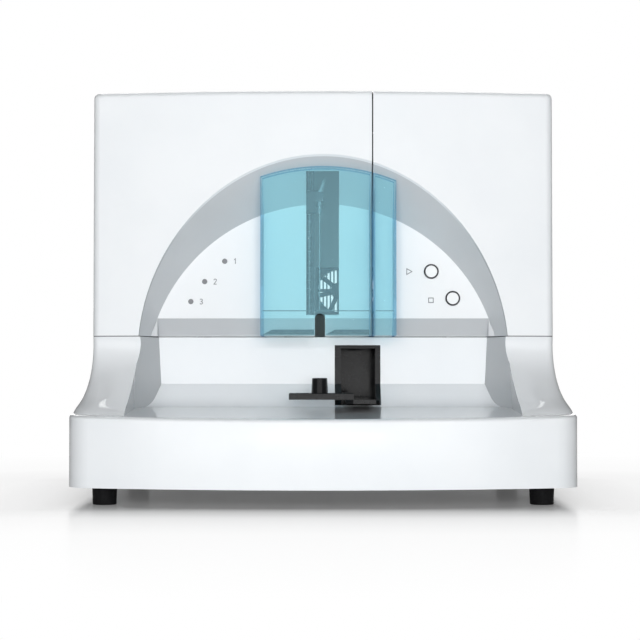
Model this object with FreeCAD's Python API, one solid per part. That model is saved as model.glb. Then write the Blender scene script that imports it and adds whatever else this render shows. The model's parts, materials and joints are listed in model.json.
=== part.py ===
import FreeCAD, Part
import math
import os

# Benchtop urine analyzer: a bowed base, a recessed sampling deck and a
# cabinet of two hoods that hinge up over the strip and microscope modules.
# Millimetres, +Z up, front towards -Y, origin under the middle of the feet.

V = FreeCAD.Vector

# Overall
body_width = 750.0
body_depth = 640.0
overrun = 60.0          # how far cutting solids run past what they cut
shell_wall = 4.0
hood_wall = 3.0
fit_gap = 0.3           # between pieces that are fitted by hand
running_gap = 0.05      # radial, shafts and plungers in their bores

# Base
base_bow = 60.0
base_corner = 45.0
base_bottom = 26.0
apron_top = 122.0
roll_width = 7.0        # soft edge of the deck, rolling down to the apron
roll_height = 5.0
roll_width_shares = (0.0, 0.03, 0.12, 0.28, 0.55, 1.0)
roll_height_shares = (0.0, 0.24, 0.475, 0.694, 0.893, 1.0)
wall_foot = 144.0       # height of the deck where it meets the recess wall
rear_shelf = 147.0

# Cabinet
cabinet_shoulder = 19.0
cabinet_half = body_width / 2 - cabinet_shoulder
cabinet_setback = 175.0
cabinet_front = -body_depth / 2 + cabinet_setback
cabinet_bow = 30.0
cabinet_corner = 12.0
cabinet_top = 627.0
cabinet_edge_round = 8.0
seam_height = 250.0
seam_gap = 1.2
split_x = 76.0
split_gap = 2.0
rear_panel_inset = 6.0
rear_panel_y = body_depth / 2 - rear_panel_inset
hood_rear_gap = 14.0
hood_rear = rear_panel_y - hood_rear_gap

# Flare of the columns out to the base: height over the base's bottom, and
# how far the outline has gone from the cabinet's size towards the base's
flare_foot = 126.0
flare_height_shares = (0.0, 0.10, 0.17, 0.235, 0.31, 0.42, 0.56, 0.74, 1.0)
flare_side_shares = (0.92, 0.82, 0.60, 0.42, 0.28, 0.15, 0.06, 0.01, 0.0)
flare_front_shares = (1.0, 0.88, 0.74, 0.61, 0.49, 0.33, 0.16, 0.02, 0.0)
flare_setback = 22.0
foot_front = -body_depth / 2 + flare_setback  # if it reached the base's size
foot_bow = 60.0

# Recess under the arch
wall_setback = 90.0
wall_y = cabinet_front + wall_setback
crease_height = 176.0   # top of the ramp at the foot of the wall
ramp_depth = 50.0
ramp_flat_depth = 18.0
ramp_flat_height = 18.0
ramp_sag = 3.0
recess_lip = 10.0
recess_front_y = cabinet_front + recess_lip
column_width = 72.0
recess_draw = 25.0
recess_foot_spread = 5.0
recess_foot_draw = 36.0
recess_belly_spread = 3.0
recess_belly_draw = 31.0
recess_flare = 5.0      # from the columns' front out past the apron
recess_front_half = cabinet_half - column_width
recess_back_half = recess_front_half - recess_draw
recess_foot_front_half = recess_front_half + recess_foot_spread
recess_foot_back_half = recess_foot_front_half - recess_foot_draw
recess_belly_height = 190.0
recess_belly_front_half = recess_front_half + recess_belly_spread
recess_belly_back_half = recess_belly_front_half - recess_belly_draw

# Arch of the hoods
panel_setback = 65.0
panel_y = cabinet_front + panel_setback
arch_front_centre = 240.0
arch_spread = 5.0
arch_front_radius = recess_front_half + arch_spread
arch_back_centre = 180.7
arch_draw = 12.0
arch_back_radius = arch_front_radius - arch_draw
lip_top = 278.7
lip_bottom = 252.4
slot_left = -26.3
slot_right = 24.9
slot_bottom = 284.0
slot_top = 505.0
notch_centre = -4.8
notch_width = 15.7

# Window
window_proud = 3.0
window_front = cabinet_front - window_proud
window_left = -96.0
window_right = 112.0
window_bottom = 250.6
window_crown = 510.0
window_crown_radius = 297.0
window_wall = 3.0
window_band_top = 288.0
window_band_step = 1.0

# Feet
foot_inset_side = 53.0
foot_inset_front = 87.0
foot_inset_rear = 70.0
foot_x = body_width / 2 - foot_inset_side
foot_front_y = -body_depth / 2 + foot_inset_front
foot_rear_y = body_depth / 2 - foot_inset_rear
foot_top_radius = 18.5
foot_bottom_radius = 17.5
foot_edge_round = 1.5
foot_floor = 6.0
stud_radius = 4.0
stud_above = 12.0
nut_radius = 7.5
nut_height = 5.0
base_plate_thick = 4.0

# Tray port in the recess wall
port_left = 18.6
port_right = 90.5
port_bottom = 143.4
port_top = 237.0
port_depth = 160.0
port_jamb_left = 10.0
port_jamb_right = 8.0
port_head = 5.0
port_sill = 1.0
port_frame_depth = 7.0
port_frame_proud = 0.8
port_wall = 2.0
port_flange = 6.0
port_back_wall = 5.0

# Sample carriage, platform and tube holder
carriage_left = 34.0
carriage_right = 79.0
carriage_bottom = 147.1
carriage_thick = 6.3
carriage_reach = 149.0
carriage_front = wall_y - carriage_reach
carriage_tail = 85.0
carriage_rear = wall_y + carriage_tail
carriage_chamfer = 11.0
slide_rod_radius = 1.6
slide_rod_inset = 8.0
slide_rod_setback = 5.0
slide_rod_front = wall_y + slide_rod_setback
slide_travel = 50.0
platform_left = -51.2
platform_right = 45.8
platform_reach = 151.0
platform_front = wall_y - platform_reach
platform_depth = 64.0
platform_rear = platform_front + platform_depth
platform_thick = 9.9
platform_edge_round = 1.5
holder_x = -5.3
holder_setback = 31.0
holder_y = platform_front + holder_setback
holder_bottom_radius = 12.5
holder_top_radius = 11.5
holder_height = 22.4
holder_floor = 3.0
tube_bore_radius = 8.1

# Panel fittings
# Lamps and buttons lie on the panel, as shares of the arch's radius from
# the middle and up from the lip
lamp_place_shares = ((-0.556, 0.323), (-0.669, 0.208), (-0.747, 0.095))
lamp_radius = 4.15
lamp_stem_radius = 3.2
lamp_proud = 1.4
lamp_stem = 9.0
start_place_shares = (0.612, 0.265)
stop_place_shares = (0.733, 0.113)
bezel_radius = 11.75
bezel_bore = 9.35
bezel_sleeve_radius = 10.6
bezel_proud = 3.0
bezel_depth = 24.0
bezel_floor = 2.0
button_gap = 0.2
button_proud = 3.5
button_length = 19.0
button_travel = 2.5
button_dish = 0.6

# Side frames, module plate, rear panel
frame_inset = 16.0
frame_half = cabinet_half - frame_inset
frame_thick = 3.0
frame_setback = 15.0
frame_front = wall_y + frame_setback
frame_top = 590.0
module_plate_z = 240.0
module_plate_thick = 4.0
rear_panel_thick = 4.0
rear_panel_side_gap = 6.0
rear_panel_half = cabinet_half - rear_panel_side_gap
rear_panel_drop = 27.0
rear_panel_top = cabinet_top - rear_panel_drop
rear_wall_drop = 5.0
rear_wall_top = cabinet_top - rear_wall_drop
rear_flange = 24.0
rear_flange_thick = 2.0

# Hood hinges
pivot_inset = 8.0
pivot_y = rear_panel_y - pivot_inset
pivot_drop = 9.0
pivot_z = cabinet_top - pivot_drop
hinge_radius = 6.6
hinge_pin_radius = 3.0
hinge_cheek = 7.0
hinge_ear_width = 22.0
hinge_side_gap = 0.4
hinge_base_thick = 4.0
hinge_ear_reach = 40.0
hinge_ear_thick = 5.0
hinge_inset_left = 56.0
hinge_inset_right = 46.0
hinge_left_of_split = 56.0
hinge_right_of_split = 54.0
hinge_places = (
    -cabinet_half + hinge_inset_left,
    split_x - hinge_left_of_split,
    split_x + hinge_right_of_split,
    cabinet_half - hinge_inset_right,
)

# Cooling fan
fan_x = 29.9
fan_z = 339.6
fan_radius = 38.5
rear_vent_inset = 150.0
rear_vent_x = rear_panel_half - rear_vent_inset
rear_vent_below = 40.0
rear_vent_width = 110.0
rear_vent_height = 5.0
rear_vent_pitch = 11.0
rear_vent_count = 8
fan_frame_half = 41.0
fan_frame_depth = 25.0
fan_tip_gap = 1.0
fan_hub_radius = 15.0
fan_motor_radius = 13.0
fan_motor_depth = 9.0
fan_strut = 5.0
fan_shaft_radius = 2.0
fan_blade_count = 7
fan_blade_thick = 1.6
fan_blade_lean = 38.0   # degrees
grille_radius = 37.5
grille_slot = 3.6
grille_pitch = 6.4
grille_count = 11

# Power inlet and switch
inlet_inset = 100.0
inlet_x = -rear_panel_half + inlet_inset
inlet_z = 190.0
inlet_width = 31.0
inlet_height = 62.0
inlet_depth = 26.0
inlet_flange = 3.0
inlet_flange_thick = 2.0
port_strip_spacing = 110.0
port_strip_x = inlet_x + port_strip_spacing
port_strip_width = 66.0
port_strip_height = 22.0
port_strip_depth = 18.0
port_well_depth = 12.0
port_well_spacing = 22.0
network_port_width = 15.0
network_port_height = 12.0
square_port_width = 11.0
square_port_height = 10.0
flat_port_width = 14.0
flat_port_height = 6.0
tongue_width = 10.0
tongue_thick = 2.0
tongue_length = 9.0
fluid_port_spacing = 100.0
fluid_port_pitch = 30.0
fluid_port_radius = 7.0
fluid_port_bore = 3.2
fluid_port_depth = 20.0
fluid_nut_radius = 11.0
fluid_nut_thick = 1.6
socket_width = 24.0
socket_height = 17.0
socket_depth = 16.0
socket_below = 15.0
pin_width = 4.0
pin_thick = 2.0
pin_length = 11.0
pin_pitch = 7.0
rocker_above = 15.0
rocker_radius = 9.0
rocker_width = 15.0
rocker_cut = 3.0
rocker_tilt = 7.0       # degrees, at rest
rocker_pin_radius = 1.5
rocker_side_gap = 0.4
rocker_room = 1.5

# Screws of the rear panel
screw_radius = 3.5
screw_head = 1.8
screw_shank_radius = 1.6
screw_inset = 14.0

# Probe tower
tower_left = -62.0
tower_right = -14.0
tower_setback = 61.0
tower_y = wall_y + tower_setback
tower_thick = 5.0
tower_top = 576.0
tower_foot = 30.0
rail_x = -46.0
rail_width = 12.0
rail_depth = 8.0
rail_bottom = 290.0
rail_top = 532.0
screw_x = -22.0
screw_stand_off = 22.0
screw_y = tower_y - screw_stand_off
lead_screw_radius = 3.0
lead_screw_foot = 250.0
screw_into_motor = 8.0
bearing_half = 9.0
bearing_height = 14.0
bracket_z = 536.0
bracket_thick = 4.0
bracket_reach = 42.0
bracket_front = tower_y - bracket_reach
motor_half = 17.5
motor_height = 30.0
motor_chamfer = 4.0
carriage_block_right = -8.0
carriage_block_left = -60.0
carriage_block_reach = 36.0
carriage_block_front = tower_y - carriage_block_reach
carriage_block_bottom = 450.0
carriage_block_top = 486.0
carriage_block_round = 5.0

# Probe arm and needle
probe_x = -5.3
probe_y = holder_y + slide_travel
arm_width = 11.3
arm_bottom = 457.6
arm_top = 472.0
arm_nose = 7.0
arm_front = probe_y - arm_nose
arm_lap = 4.0
needle_radius = 0.9
needle_sleeve_radius = 2.2
needle_sleeve_end = 438.0
needle_tip = 290.0
probe_travel = 100.0
hose_radius = 1.6
hose_mid_setback = 26.0
hose_mid_y = probe_y + hose_mid_setback
hose_mid_z = 493.0
hose_end_x = 8.0
hose_end_setback = 80.0
hose_end_y = probe_y + hose_end_setback

# Strip module
hopper_inset = 18.0
strip_bay = frame_half + tower_left
hopper_share = 0.4317
hopper_width = hopper_share * strip_bay
hopper_left = -frame_half + hopper_inset
hopper_right = hopper_left + hopper_width
hopper_rear_gap = 54.0
hopper_depth_share = 0.3955
hopper_depth = hopper_depth_share * (rear_panel_y - frame_front)
hopper_rear = rear_panel_y - hopper_rear_gap
hopper_front = hopper_rear - hopper_depth
hopper_top = 372.0
hopper_floor = 300.0
hopper_wall = 3.0
hopper_leg = 20.0
lid_thick = 3.0
lid_lip = 6.0
lid_knuckle = 4.0
lid_pin_radius = 1.5
drum_ahead = 22.0
drum_y = hopper_front - drum_ahead
drum_z = 292.0
drum_radius = 17.0
drum_shaft_radius = 3.0
drum_groove = 4.0
drum_groove_count = 10
cheek_thick = 5.0
cheek_half = 12.0
drum_side_gap = 0.4
bed_setback = 6.0
bed_depth_share = 0.2994
bed_depth = bed_depth_share * (rear_panel_y - frame_front)
bed_front = frame_front + bed_setback
bed_rear = bed_front + bed_depth
bed_top = 262.0
bed_groove = 7.0
bed_groove_deep = 2.5
bed_groove_count = 8
reader_setback = 32.0
reader_depth = 46.0
reader_front = bed_front + reader_setback
reader_rear = reader_front + reader_depth
reader_bottom = 270.0
reader_top = 304.0
reader_leg = 8.0
reader_round = 4.0
box_spacing = 22.0
box_share = 0.3165
box_width = box_share * strip_bay
box_left = hopper_right + box_spacing
box_right = box_left + box_width
box_setback = 50.0
box_depth = 130.0
box_front = frame_front + box_setback
box_rear = box_front + box_depth
box_top = 330.0
box_wall = 2.0
box_travel = 40.0
runner_width = 6.0
runner_height = 3.0
grip_width = 30.0
grip_depth = 8.0
grip_height = 5.0
grip_below = 14.0

# Microscope module
scope_left = 100.0
scope_right = 200.0
scope_setback = 56.0
scope_depth = 184.0
scope_front = frame_front + scope_setback
scope_rear = scope_front + scope_depth
scope_foot = 8.0
scope_column = 60.0
scope_column_setback = 114.0
scope_column_front = scope_front + scope_column_setback
scope_arm_bottom = 400.0
scope_arm_top = 430.0
scope_arm_setback = 18.0
scope_arm_front = scope_front + scope_arm_setback
stage_bottom = 300.0
stage_top = 308.0
stage_half = 40.0
lens_setback = 50.0
lens_y = scope_front + lens_setback
lens_radius = 11.0
lens_tip_radius = 7.0
lens_bottom = 330.0
lens_taper_top = 345.0
camera_half = 23.0
camera_top = 482.0
camera_round = 4.0
flow_half_width = 22.0
flow_half_depth = 14.0
flow_height = 6.0
flow_bore_radius = 1.2
lamp_house_radius = 14.0
lamp_house_bottom = 262.0

# Syringe pump
pump_inset = 34.0
pump_width = 60.0
pump_right = frame_half - pump_inset
pump_left = pump_right - pump_width
pump_setback = 84.0
pump_depth = 68.0
pump_front = frame_front + pump_setback
pump_rear = pump_front + pump_depth
pump_top = 452.0
pump_round = 4.0
barrel_ahead = 20.0
barrel_y = pump_front - barrel_ahead
barrel_radius = 10.0
barrel_bore = 8.0
barrel_bottom = 346.0
barrel_top = 426.0
barrel_cap = 4.0
lug_half = 14.0
lug_reach = 34.0
lug_front = pump_front - lug_reach
lug_height = 8.0
piston_top = 414.0
piston_height = 8.0
piston_rod_radius = 3.0
knob_radius = 8.0
knob_height = 8.0
knob_bottom = 308.0
plunger_travel = 40.0

# Parts in the base
supply_inset = 40.0
supply_width = 120.0
supply_left = -frame_half + supply_inset
supply_right = supply_left + supply_width
supply_rear_gap = 74.0
supply_depth = 180.0
supply_rear = rear_panel_y - supply_rear_gap
supply_front = supply_rear - supply_depth
supply_height = 62.0
supply_slot = 3.0
supply_slot_pitch = 8.0
supply_slot_count = 12
supply_slot_deep = 4.0
board_spacing = 50.0
board_width = 120.0
board_left = supply_right + board_spacing
board_right = board_left + board_width
board_rear_gap = 34.0
board_depth = 150.0
board_rear = rear_panel_y - board_rear_gap
board_front = board_rear - board_depth
board_gap = 8.0
board_thick = 1.6
board_inset = 8.0
standoff_radius = 3.0
chip_size = 24.0
chip_height = 4.0
chip_pitch = 40.0
plug_length = 30.0
plug_depth = 8.0
plug_height = 10.0
fluid_pump_inset = 120.0
fluid_pump_x = frame_half - fluid_pump_inset
fluid_pump_setback = 130.0
fluid_pump_front = frame_front + fluid_pump_setback
fluid_pump_half = 26.0
fluid_pump_length = 60.0
fluid_motor_radius = 20.0
fluid_motor_length = 60.0
fluid_cradle = 8.0


def on_panel(shares):
    """Place on the panel, across and up."""
    return (arch_back_radius * shares[0], lip_top + arch_back_radius * shares[1])


lamp_places = [on_panel(shares) for shares in lamp_place_shares]
start_x, start_z = on_panel(start_place_shares)
stop_x, stop_z = on_panel(stop_place_shares)


def plan_wire(half, front, bow, corner, rear, z):
    """Closed outline: bowed front, two round front corners, square rear."""
    big = (half * half + bow * bow) / (2 * bow)
    centre_y = front + big
    corner_x = half - corner
    corner_y = centre_y - math.sqrt((big - corner) ** 2 - corner_x ** 2)
    reach = big / (big - corner)
    touch_x = corner_x * reach
    touch_y = centre_y + (corner_y - centre_y) * reach
    angle = math.atan2(touch_y - corner_y, touch_x - corner_x) / 2
    mid_x = corner_x + corner * math.cos(angle)
    mid_y = corner_y + corner * math.sin(angle)
    right_touch = V(touch_x, touch_y, z)
    left_touch = V(-touch_x, touch_y, z)
    right_side = V(half, corner_y, z)
    left_side = V(-half, corner_y, z)
    right_rear = V(half, rear, z)
    left_rear = V(-half, rear, z)
    edges = [
        Part.Arc(left_touch, V(0, front, z), right_touch).toShape(),
        Part.Arc(right_touch, V(mid_x, mid_y, z), right_side).toShape(),
        Part.makeLine(right_side, right_rear),
        Part.makeLine(right_rear, left_rear),
        Part.makeLine(left_rear, left_side),
        Part.Arc(left_side, V(-mid_x, mid_y, z), left_touch).toShape(),
    ]
    return Part.Wire(edges)


def box_between(x0, x1, y0, y1, z0, z1):
    """Block between two corners."""
    return Part.makeBox(x1 - x0, y1 - y0, z1 - z0, V(x0, y0, z0))


def rod(radius, start, end):
    """Round bar from one point to another."""
    line = end - start
    return Part.makeCylinder(radius, line.Length, start, line)


def taper(radius, end_radius, start, end):
    """Tapered round bar from one point to another."""
    line = end - start
    return Part.makeCone(radius, end_radius, line.Length, start, line)


def side_profile(points, x0, x1):
    """Prism along X from (y, z) points."""
    corners = [V(x0, y, z) for y, z in points]
    face = Part.Face(Part.makePolygon(corners + [corners[0]]))
    return face.extrude(V(x1 - x0, 0, 0))


def joined(shapes):
    """One solid from touching or crossing solids."""
    whole = shapes[0].fuse(shapes[1:])
    return whole.removeSplitter()


def round_edges(shape, radius, wanted):
    """Fillet the edges whose middle passes the test."""
    edges = [edge for edge in shape.Edges if wanted(edge.CenterOfMass)]
    return shape.makeFillet(radius, edges)


def solids_of(shape):
    """The solids of a cut, as one solid or a group of separate solids."""
    if len(shape.Solids) == 1:
        return shape.Solids[0]
    return Part.makeCompound(shape.Solids)


def save(name, shape):
    """Write one node."""
    shape.exportStep("parts/" + name + ".step")


deck_slope = (wall_foot - apron_top - roll_height) / (wall_y + body_depth / 2)


def deck_height(y):
    """Height of the sloped deck at a depth."""
    return apron_top + roll_height + deck_slope * (y + body_depth / 2)


def tilted(wire, height):
    """A flat outline laid parallel to the deck, height above the base's origin at its front."""
    matrix = FreeCAD.Matrix()
    matrix.A32 = deck_slope
    matrix.A34 = height + deck_slope * body_depth / 2
    return wire.transformGeometry(matrix)


def base_block(inset):
    """Low part of the base: straight sides, and a soft edge that rolls into the sloped deck."""
    half = body_width / 2 - inset
    front = -body_depth / 2 + inset
    rear = body_depth / 2 - inset
    corner = base_corner - inset
    floor = base_bottom if inset == 0 else base_bottom - overrun
    outline = plan_wire(half, front, base_bow, corner, rear, floor)
    sides = Part.Face(outline).extrude(V(0, 0, rear_shelf - inset - floor))
    far = body_depth
    rim = apron_top - inset
    above = side_profile([
        (-far, rim + deck_slope * (body_depth / 2 - far)),
        (far, rim + deck_slope * (body_depth / 2 + far)),
        (far, rim + far),
        (-far, rim + far),
    ], -body_width, body_width)
    sections = []
    for across, up in zip(roll_width_shares, roll_height_shares):
        step = roll_width * across
        wire = plan_wire(half - step, front + step, base_bow, corner - step, rear, 0)
        sections.append(tilted(wire, rim + roll_height * up))
    roll = Part.makeLoft(sections, True, False)
    over_shelf = box_between(-body_width, body_width, -far, far, rear_shelf - inset, far)
    return sides.cut(above).fuse(roll.cut(over_shelf))


def flare_block(inset):
    """Columns and wall over the base, flaring out to it at the foot."""
    sections = []
    base_half = body_width / 2
    height = seam_height - seam_gap / 2 - flare_foot
    shares = zip(flare_height_shares, flare_side_shares, flare_front_shares)
    rear = body_depth / 2 if inset == 0 else body_depth / 2 + overrun
    for up, side, ahead in shares:
        half = cabinet_half + (base_half - cabinet_half) * side - inset
        front = cabinet_front + (foot_front - cabinet_front) * ahead + inset
        bow = cabinet_bow + (foot_bow - cabinet_bow) * ahead
        corner = cabinet_corner + (base_corner - cabinet_corner) * ahead - inset
        z = flare_foot + height * up
        sections.append(plan_wire(half, front, bow, corner, rear, z))
    block = Part.makeLoft(sections, True, False)
    if inset > 0:
        low = rear_shelf - inset
        trim = box_between(-base_half, base_half, body_depth / 2 - inset, rear + overrun,
                           flare_foot - overrun, low)
        cap_outline = sections[-1]
        cap = Part.Face(cap_outline).extrude(V(0, 0, overrun))
        block = block.cut(trim).fuse(cap)
    return block


def recess_profile():
    """Half outline levels of the recess opening: (height, front, back)."""
    top = seam_height + overrun
    lean = (recess_belly_front_half - recess_front_half) / (seam_height - recess_belly_height)
    rise = (top - seam_height) * lean
    return [
        (flare_foot - overrun, recess_foot_front_half, recess_foot_back_half),
        (wall_foot, recess_foot_front_half, recess_foot_back_half),
        (recess_belly_height, recess_belly_front_half, recess_belly_back_half),
        (seam_height, recess_front_half, recess_back_half),
        (top, recess_front_half - rise, recess_back_half - rise),
    ]


ramp_foot_y = wall_y - ramp_depth
ramp_bend_y = wall_y - ramp_flat_depth
ramp_bend_z = crease_height - ramp_flat_height


def recess(grow):
    """Space over the deck and the ramp between the columns, open to the front."""
    levels = recess_profile()
    out_y = -body_depth / 2 - overrun
    stations = ((out_y, 1.0, recess_flare), (recess_front_y, 1.0, 0.0), (wall_y + grow, 0.0, 0.0))
    wires = []
    for y, far, more in stations:
        right = [V(back + (front - back) * far + more + grow, y, z) for z, front, back in levels]
        left = [V(-point.x, point.y, point.z) for point in reversed(right)]
        points = right + left
        wires.append(Part.makePolygon(points + [points[0]]))
    funnel = Part.makeLoft(wires, True, True)
    top = seam_height + overrun
    under = flare_foot - overrun
    outline = [V(-body_width, wall_y + grow, crease_height), V(-body_width, wall_y + grow, top),
               V(-body_width, out_y, top), V(-body_width, out_y, under),
               V(-body_width, ramp_foot_y + grow, under),
               V(-body_width, ramp_foot_y + grow, deck_height(ramp_foot_y))]
    edges = [Part.makeLine(a, b) for a, b in zip(outline, outline[1:])]
    bend = V(-body_width, ramp_bend_y + grow, ramp_bend_z)
    chord = bend - outline[-1]
    middle = outline[-1] + chord * 0.5
    sag = V(0, chord.z, -chord.y).normalize() * ramp_sag
    edges.append(Part.Arc(outline[-1], middle + sag, bend).toShape())
    edges.append(Part.makeLine(bend, outline[0]))
    space = Part.Face(Part.Wire(edges)).extrude(V(2 * body_width, 0, 0))
    return funnel.common(space)


def base_housing():
    """Thin moulded shell: apron, deck, columns and recess wall."""
    outer = base_block(0).fuse(flare_block(0).cut(recess(0)))
    inner = base_block(shell_wall).fuse(flare_block(shell_wall).cut(recess(shell_wall)))
    shell = outer.cut(inner)
    doorway = box_between(port_left - fit_gap / 3, port_right + fit_gap / 3,
                          wall_y - overrun, wall_y + overrun,
                          port_bottom - fit_gap / 3, port_top + fit_gap / 3)
    return shell.cut(doorway)


def hood_block(inset):
    """Cabinet over the seam, before it is split into two hoods."""
    half = cabinet_half - inset
    floor = seam_height + seam_gap / 2 if inset == 0 else seam_height - overrun
    rear = hood_rear if inset == 0 else hood_rear + overrun
    corner = cabinet_corner - inset
    outline = plan_wire(half, cabinet_front + inset, cabinet_bow, corner, rear, floor)
    top = cabinet_top - inset
    block = Part.Face(outline).extrude(V(0, 0, top - floor))

    def on_top_rim(point):
        return point.z > top - inset - running_gap and point.y < hood_rear - inset - fit_gap

    return round_edges(block, cabinet_edge_round - inset, on_top_rim)


def arch_space(grow):
    """Space cut into the hoods: arch reveal, panel plane and header lip."""
    rings = []
    out_y = cabinet_front - overrun / 2
    for y in (out_y, panel_y + grow):
        far = (y - panel_y) / (cabinet_front - panel_y)
        centre = arch_back_centre + (arch_front_centre - arch_back_centre) * far
        radius = arch_back_radius + (arch_front_radius - arch_back_radius) * far + grow
        circle = Part.Circle(V(0, y, centre), V(0, 1, 0), radius)
        rings.append(Part.Wire([circle.toShape()]))
    cone = Part.makeLoft(rings, True, True)
    under = seam_height - overrun
    high = cabinet_top + overrun
    cone = cone.common(box_between(-body_width, body_width, out_y - overrun,
                                   panel_y + overrun, under, high))
    rise = grow * (wall_y - panel_y) / (lip_top - under)
    lip = side_profile([
        (panel_y - overrun / 4, under),
        (wall_y + grow, under),
        (wall_y + grow, lip_bottom + rise),
        (panel_y + grow, lip_top + rise),
        (panel_y - overrun / 4, lip_top + rise),
    ], -recess_back_half - grow, recess_back_half + grow)
    return cone.fuse(lip)


def side_of_split(side):
    """Room of the left (-1) or right (1) hood."""
    edge = split_x + side * split_gap / 2
    far = side * body_width
    low = seam_height - overrun
    high = cabinet_top + overrun
    return box_between(min(edge, far), max(edge, far), -body_depth, body_depth, low, high)


def window_slots():
    """Tall slot in the panel and the notch under it for the needle."""
    slot = box_between(slot_left, slot_right, cabinet_front - overrun, wall_y + overrun / 4,
                       slot_bottom, slot_top)
    notch = box_between(notch_centre - notch_width / 2, notch_centre + notch_width / 2,
                        cabinet_front - overrun, wall_y + overrun / 4,
                        seam_height - overrun, slot_bottom + running_gap)
    return slot.fuse(notch)


def panel_holes():
    """Holes in the panel for the indicator lamps and the buttons."""
    holes = []
    for x, z in lamp_places:
        holes.append(rod(lamp_stem_radius + running_gap, V(x, panel_y - overrun, z),
                         V(x, wall_y, z)))
    for x, z in ((start_x, start_z), (stop_x, stop_z)):
        holes.append(rod(bezel_sleeve_radius + running_gap, V(x, panel_y - overrun, z),
                         V(x, wall_y, z)))
    return holes[0].fuse(holes[1:])


def hood_shell(side):
    """White outer shell of one hood."""
    shell = hood_block(0).cut(hood_block(hood_wall)).cut(arch_space(0))
    shell = shell.common(side_of_split(side))
    return solids_of(shell)


def arch_cup(side):
    """Lining of the arch inside one hood, before panel and trim part."""
    cup = arch_space(hood_wall).cut(arch_space(0)).common(hood_block(hood_wall))
    floor = seam_height + seam_gap / 2
    room = box_between(-body_width, body_width, -body_depth, body_depth, floor, cabinet_top)
    cup = cup.common(room).common(side_of_split(side))
    return cup.cut(window_slots()).cut(panel_holes())


def panel_room():
    """Slab that holds the flat white panel."""
    return box_between(-body_width, body_width, panel_y, panel_y + hood_wall,
                       lip_top, cabinet_top)


def arch_trim(side):
    """Grey reveal and header lip of one hood."""
    return solids_of(arch_cup(side).cut(panel_room()))


def front_panel(side):
    """Flat panel at the back of the arch on one side of the split."""
    return solids_of(arch_cup(side).common(panel_room()))


def window_prism(inset, left, right):
    """Window outline with its arched top, drawn back to the panel."""
    floor = window_bottom if inset == 0 else window_bottom - overrun
    front = window_front + inset
    back = panel_y + overrun
    centre = window_crown - window_crown_radius
    drum = rod(window_crown_radius - inset, V(0, front, centre), V(0, back, centre))
    slab = box_between(left + inset, right - inset, front, back, floor, cabinet_top)
    band = box_between(left + inset, right - inset, front - window_band_step, back,
                       floor, window_band_top - inset)
    return drum.common(slab).fuse(band)


def hood_window(side):
    """See-through window box of one hood."""
    left = window_left if side < 0 else split_x + split_gap / 2
    right = split_x - split_gap / 2 if side < 0 else window_right
    shell = window_prism(0, left, right).cut(window_prism(window_wall, left, right))
    shell = shell.common(arch_space(0))
    half = notch_width / 2
    centre = slot_bottom - half
    front = window_front - overrun
    back = panel_y - overrun / 2
    notch = box_between(notch_centre - half, notch_centre + half, front, back,
                        window_bottom - overrun, centre)
    notch = notch.fuse(rod(half, V(notch_centre, front, centre), V(notch_centre, back, centre)))
    return solids_of(shell.cut(notch))


def indicator_lamps():
    """Three domed lamps with their stems through the panel."""
    lamps = []
    face = panel_y
    for x, z in lamp_places:
        rim = rod(lamp_radius, V(x, face - lamp_proud, z), V(x, face, z))
        rim = round_edges(rim, lamp_proud / 2, lambda point: point.y < face - lamp_proud / 2)
        stem = rod(lamp_stem_radius, V(x, face - lamp_proud / 2, z),
                   V(x, face + lamp_stem, z))
        lamps.append(joined([rim, stem]))
    return Part.makeCompound(lamps)


def button_bezels():
    """Rings round the two buttons."""
    return Part.makeCompound([button_bezel(start_x, start_z), button_bezel(stop_x, stop_z)])


def button_bezel(x, z):
    """Ring with a sleeve behind the panel that guides the button."""
    ring = rod(bezel_radius, V(x, panel_y - bezel_proud, z), V(x, panel_y, z))
    ring = round_edges(ring, bezel_proud / 2, lambda point: point.y < panel_y - bezel_proud / 2)
    sleeve = rod(bezel_sleeve_radius, V(x, panel_y - bezel_proud / 2, z),
                 V(x, panel_y + bezel_depth, z))
    bore = rod(bezel_bore, V(x, panel_y - overrun, z),
               V(x, panel_y + bezel_depth - bezel_floor, z))
    return joined([ring, sleeve]).cut(bore)


def push_button(x, z):
    """Round cap that slides in its bezel."""
    front = panel_y - bezel_proud - button_proud + button_travel
    cap = rod(bezel_bore - button_gap, V(x, front, z), V(x, front + button_length, z))
    return round_edges(cap, button_dish, lambda point: point.y < front + button_dish)


def hood_ears(side):
    """Knuckles and straps that hang one hood on its hinge pins."""
    ears = []
    for x in hinge_places:
        if (x - split_x) * side < 0:
            continue
        left = x - hinge_ear_width / 2
        right = x + hinge_ear_width / 2
        roof = cabinet_top - hood_wall
        knuckle = rod(hinge_radius - hinge_side_gap, V(left, pivot_y, pivot_z),
                      V(right, pivot_y, pivot_z))
        strap = box_between(left, right, pivot_y - hinge_ear_reach, pivot_y,
                            roof - hinge_ear_thick, roof)
        bore = rod(hinge_pin_radius + running_gap, V(left - overrun, pivot_y, pivot_z),
                   V(right + overrun, pivot_y, pivot_z))
        ears.append(joined([knuckle, strap]).cut(bore))
    return Part.makeCompound(ears)


base_plate_top = base_bottom + base_plate_thick
foot_places = (
    (-foot_x, foot_front_y),
    (foot_x, foot_front_y),
    (-foot_x, foot_rear_y),
    (foot_x, foot_rear_y),
)


def base_plate():
    """Floor of the base, inside the housing's rim, with the board's pillars."""
    inset = shell_wall + fit_gap / 3
    outline = plan_wire(body_width / 2 - inset, -body_depth / 2 + inset, base_bow,
                        base_corner - inset, body_depth / 2 - inset, base_bottom)
    plate = Part.Face(outline).extrude(V(0, 0, base_plate_thick))
    for x, y in foot_places:
        plate = plate.cut(rod(stud_radius + running_gap, V(x, y, -overrun),
                              V(x, y, base_plate_top + overrun)))
    pillars = []
    for x, y in standoff_places():
        pillars.append(rod(standoff_radius, V(x, y, base_plate_top),
                           V(x, y, base_plate_top + board_gap)))
    return joined([plate] + pillars)


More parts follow.
